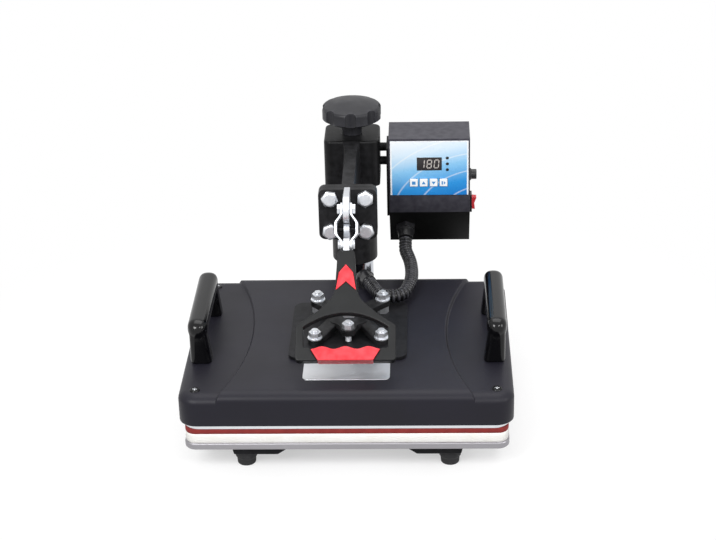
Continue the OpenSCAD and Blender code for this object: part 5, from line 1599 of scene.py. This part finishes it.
@dataclass
class Studio:
    """The floor, the light and the camera."""

    # The camera's bearing, height angle and roll in degrees, its distance, and the point that it looks at
    bearing: float = 2.424
    height: float = 25.825
    roll: float = -1.473
    distance: float = 2.2194
    aim: tuple[float, float, float] = (0.012378, PLATEN_Y, 0.196306)
    # Focal length and width of the picture in the camera, in millimetres
    lens: float = 92.916
    sensor: float = 36
    # Strength of the surrounding light on the press
    sky: float = 0.5
    # The soft boxes with their places, widths and heights, and watts, and the point that they shine at
    lamps: tuple[tuple[str, Point, tuple[float, float], float], ...] = (
        ("key_box", (-0.9, -1.6, 1.5), (0.8, 0.8), 32),
        ("fill_box", (0.7, -1.5, 1.5), (0.45, 0.45), 10),
        ("top_box", (0.1, 0.5, 2.1), (1.8, 1.4), 21),
        ("side_box", (1.6, -0.9, 0.9), (0.5, 0.9), 11),
    )
    lamp_aim: tuple[float, float, float] = (0, 0, 0.15)
    # Half the floor's width, and its tones for the light that it throws back and for the camera
    floor_half: float = 12
    floor_tones: tuple[str, str] = ("#5a5a5a", "#ffffff")
    # Where the floor fades to white, from the middle outwards, and how far it has faded before that
    fade: tuple[float, float] = (0.15, 0.6)
    fade_least: float = 0.5

    def camera(self) -> None:
        """Puts the camera where the photograph was taken from."""
        bearing, height, roll = (math.radians(x) for x in (self.bearing, self.height, self.roll))
        level = math.cos(height)
        back = Vector((math.sin(bearing) * level, -math.cos(bearing) * level, math.sin(height)))
        side = Vector((math.cos(bearing), math.sin(bearing), 0))
        up = back.cross(side)
        right = math.cos(roll) * side + math.sin(roll) * up
        top = math.cos(roll) * up - math.sin(roll) * side
        view = bpy.data.cameras.new("photo_view")
        view.lens = self.lens
        view.sensor_width = self.sensor
        camera = bpy.data.objects.new("photo_view", view)
        bpy.context.scene.collection.objects.link(camera)
        place = Matrix((right, top, back)).transposed().to_4x4()
        place.translation = Vector(self.aim) + self.distance * back
        camera.matrix_world = place
        bpy.context.scene.camera = camera

    def lamp(self, name: str, spot: Point, size: tuple[float, float], watts: float) -> None:
        """Hangs a soft box that shines at the middle of the press.

        Args:
            name: The lamp's name.
            spot: Its place.
            size: Its width and height.
            watts: Its power.
        """
        light = bpy.data.lights.new(name, "AREA")
        light.shape = "RECTANGLE"
        light.size, light.size_y = size
        light.energy = watts
        lamp = bpy.data.objects.new(name, light)
        bpy.context.scene.collection.objects.link(lamp)
        lamp.location = spot
        way = Vector(self.lamp_aim) - Vector(spot)
        lamp.rotation_euler = way.to_track_quat("-Z", "Y").to_euler()

    def seen(self, tree: Any) -> Any:
        """Adds a socket that is 1 where the camera sees something, straight, mirrored or through glass.

        Args:
            tree: The node tree.

        Returns:
            The socket.
        """
        rays = add_node(tree, "ShaderNodeLightPath").outputs
        found = rays["Is Camera Ray"]
        for kind in ("Is Glossy Ray", "Is Transmission Ray"):
            found = add_node(tree, "ShaderNodeMath", {
                "operation": "MAXIMUM", 0: found, 1: rays[kind],
            }).outputs[0]
        return found

    def world(self) -> None:
        """Makes an even pale surrounding that metal mirrors as white."""
        world = bpy.data.worlds.new("studio")
        bpy.context.scene.world = world
        world.use_nodes = True
        tree = world.node_tree
        tree.nodes.clear()
        level = add_node(tree, "ShaderNodeMapRange", {
            "To Min": self.sky, "To Max": 1.0, "Value": self.seen(tree),
        })
        light = add_node(tree, "ShaderNodeBackground", {
            "Color": (1, 1, 1, 1), "Strength": level.outputs["Result"],
        })
        add_node(tree, "ShaderNodeOutputWorld", {"Surface": light.outputs[0]})

    def paper(self) -> bpy.types.Material:
        """Makes the floor's white paper, which keeps a faint shadow and fades to the white surrounding.

        Returns:
            The material.
        """
        material = bpy.data.materials.new("white seamless paper")
        material.use_nodes = True
        tree = material.node_tree
        tree.nodes.clear()
        seen = self.seen(tree)
        where = add_node(tree, "ShaderNodeTexCoord").outputs["Object"]
        reach = add_node(tree, "ShaderNodeVectorMath", {"operation": "LENGTH", 0: where}).outputs["Value"]
        start, end = self.fade
        fade = add_node(tree, "ShaderNodeMapRange", {
            "interpolation_type": "SMOOTHSTEP", "From Min": start, "From Max": end,
            "To Min": self.fade_least, "To Max": 1.0, "Value": reach,
        }).outputs["Result"]
        share = add_node(tree, "ShaderNodeMath", {"operation": "MULTIPLY", 0: fade, 1: seen}).outputs[0]
        thrown, shown = (linear(tone) for tone in self.floor_tones)
        tone = add_node(tree, "ShaderNodeMix", {"data_type": "RGBA", 0: seen, 6: thrown, 7: shown})
        matt = add_node(tree, "ShaderNodeBsdfDiffuse", {"Color": tone.outputs[2]})
        white = add_node(tree, "ShaderNodeEmission", {"Strength": 1.0})
        mixed = add_node(tree, "ShaderNodeMixShader", {0: share, 1: matt.outputs[0], 2: white.outputs[0]})
        add_node(tree, "ShaderNodeOutputMaterial", {"Surface": mixed.outputs[0]})
        return material

    def floor(self) -> None:
        """Lays the pale floor."""
        corners = ((-1, -1), (1, -1), (1, 1), (-1, 1))

        def build(shape: bmesh.types.BMesh) -> None:
            """Adds one large square."""
            half = self.floor_half
            shape.faces.new([shape.verts.new((x * half, y * half, 0)) for x, y in corners])

        floor = make_piece("studio_floor", build)
        floor.data.materials.append(self.paper())

    def build(self) -> None:
        """Builds the studio."""
        self.camera()
        self.world()
        self.floor()
        for lamp in self.lamps:
            self.lamp(*lamp)
        bpy.context.scene.view_settings.view_transform = "Standard"


def main() -> None:
    """Builds the studio and every sub-assembly."""
    logging.basicConfig(level=logging.INFO, format="%(message)s")
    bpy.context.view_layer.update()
    Studio().build()
    for group in (
        Base, LowerPlaten, PressureScrew, CastArm, ControlBox, Carriage, HeatPlaten, ToggleLever, Hose,
    ):
        group().build()
        LOG.info("%s done", group.__name__)


if __name__ == "__main__":
    main()
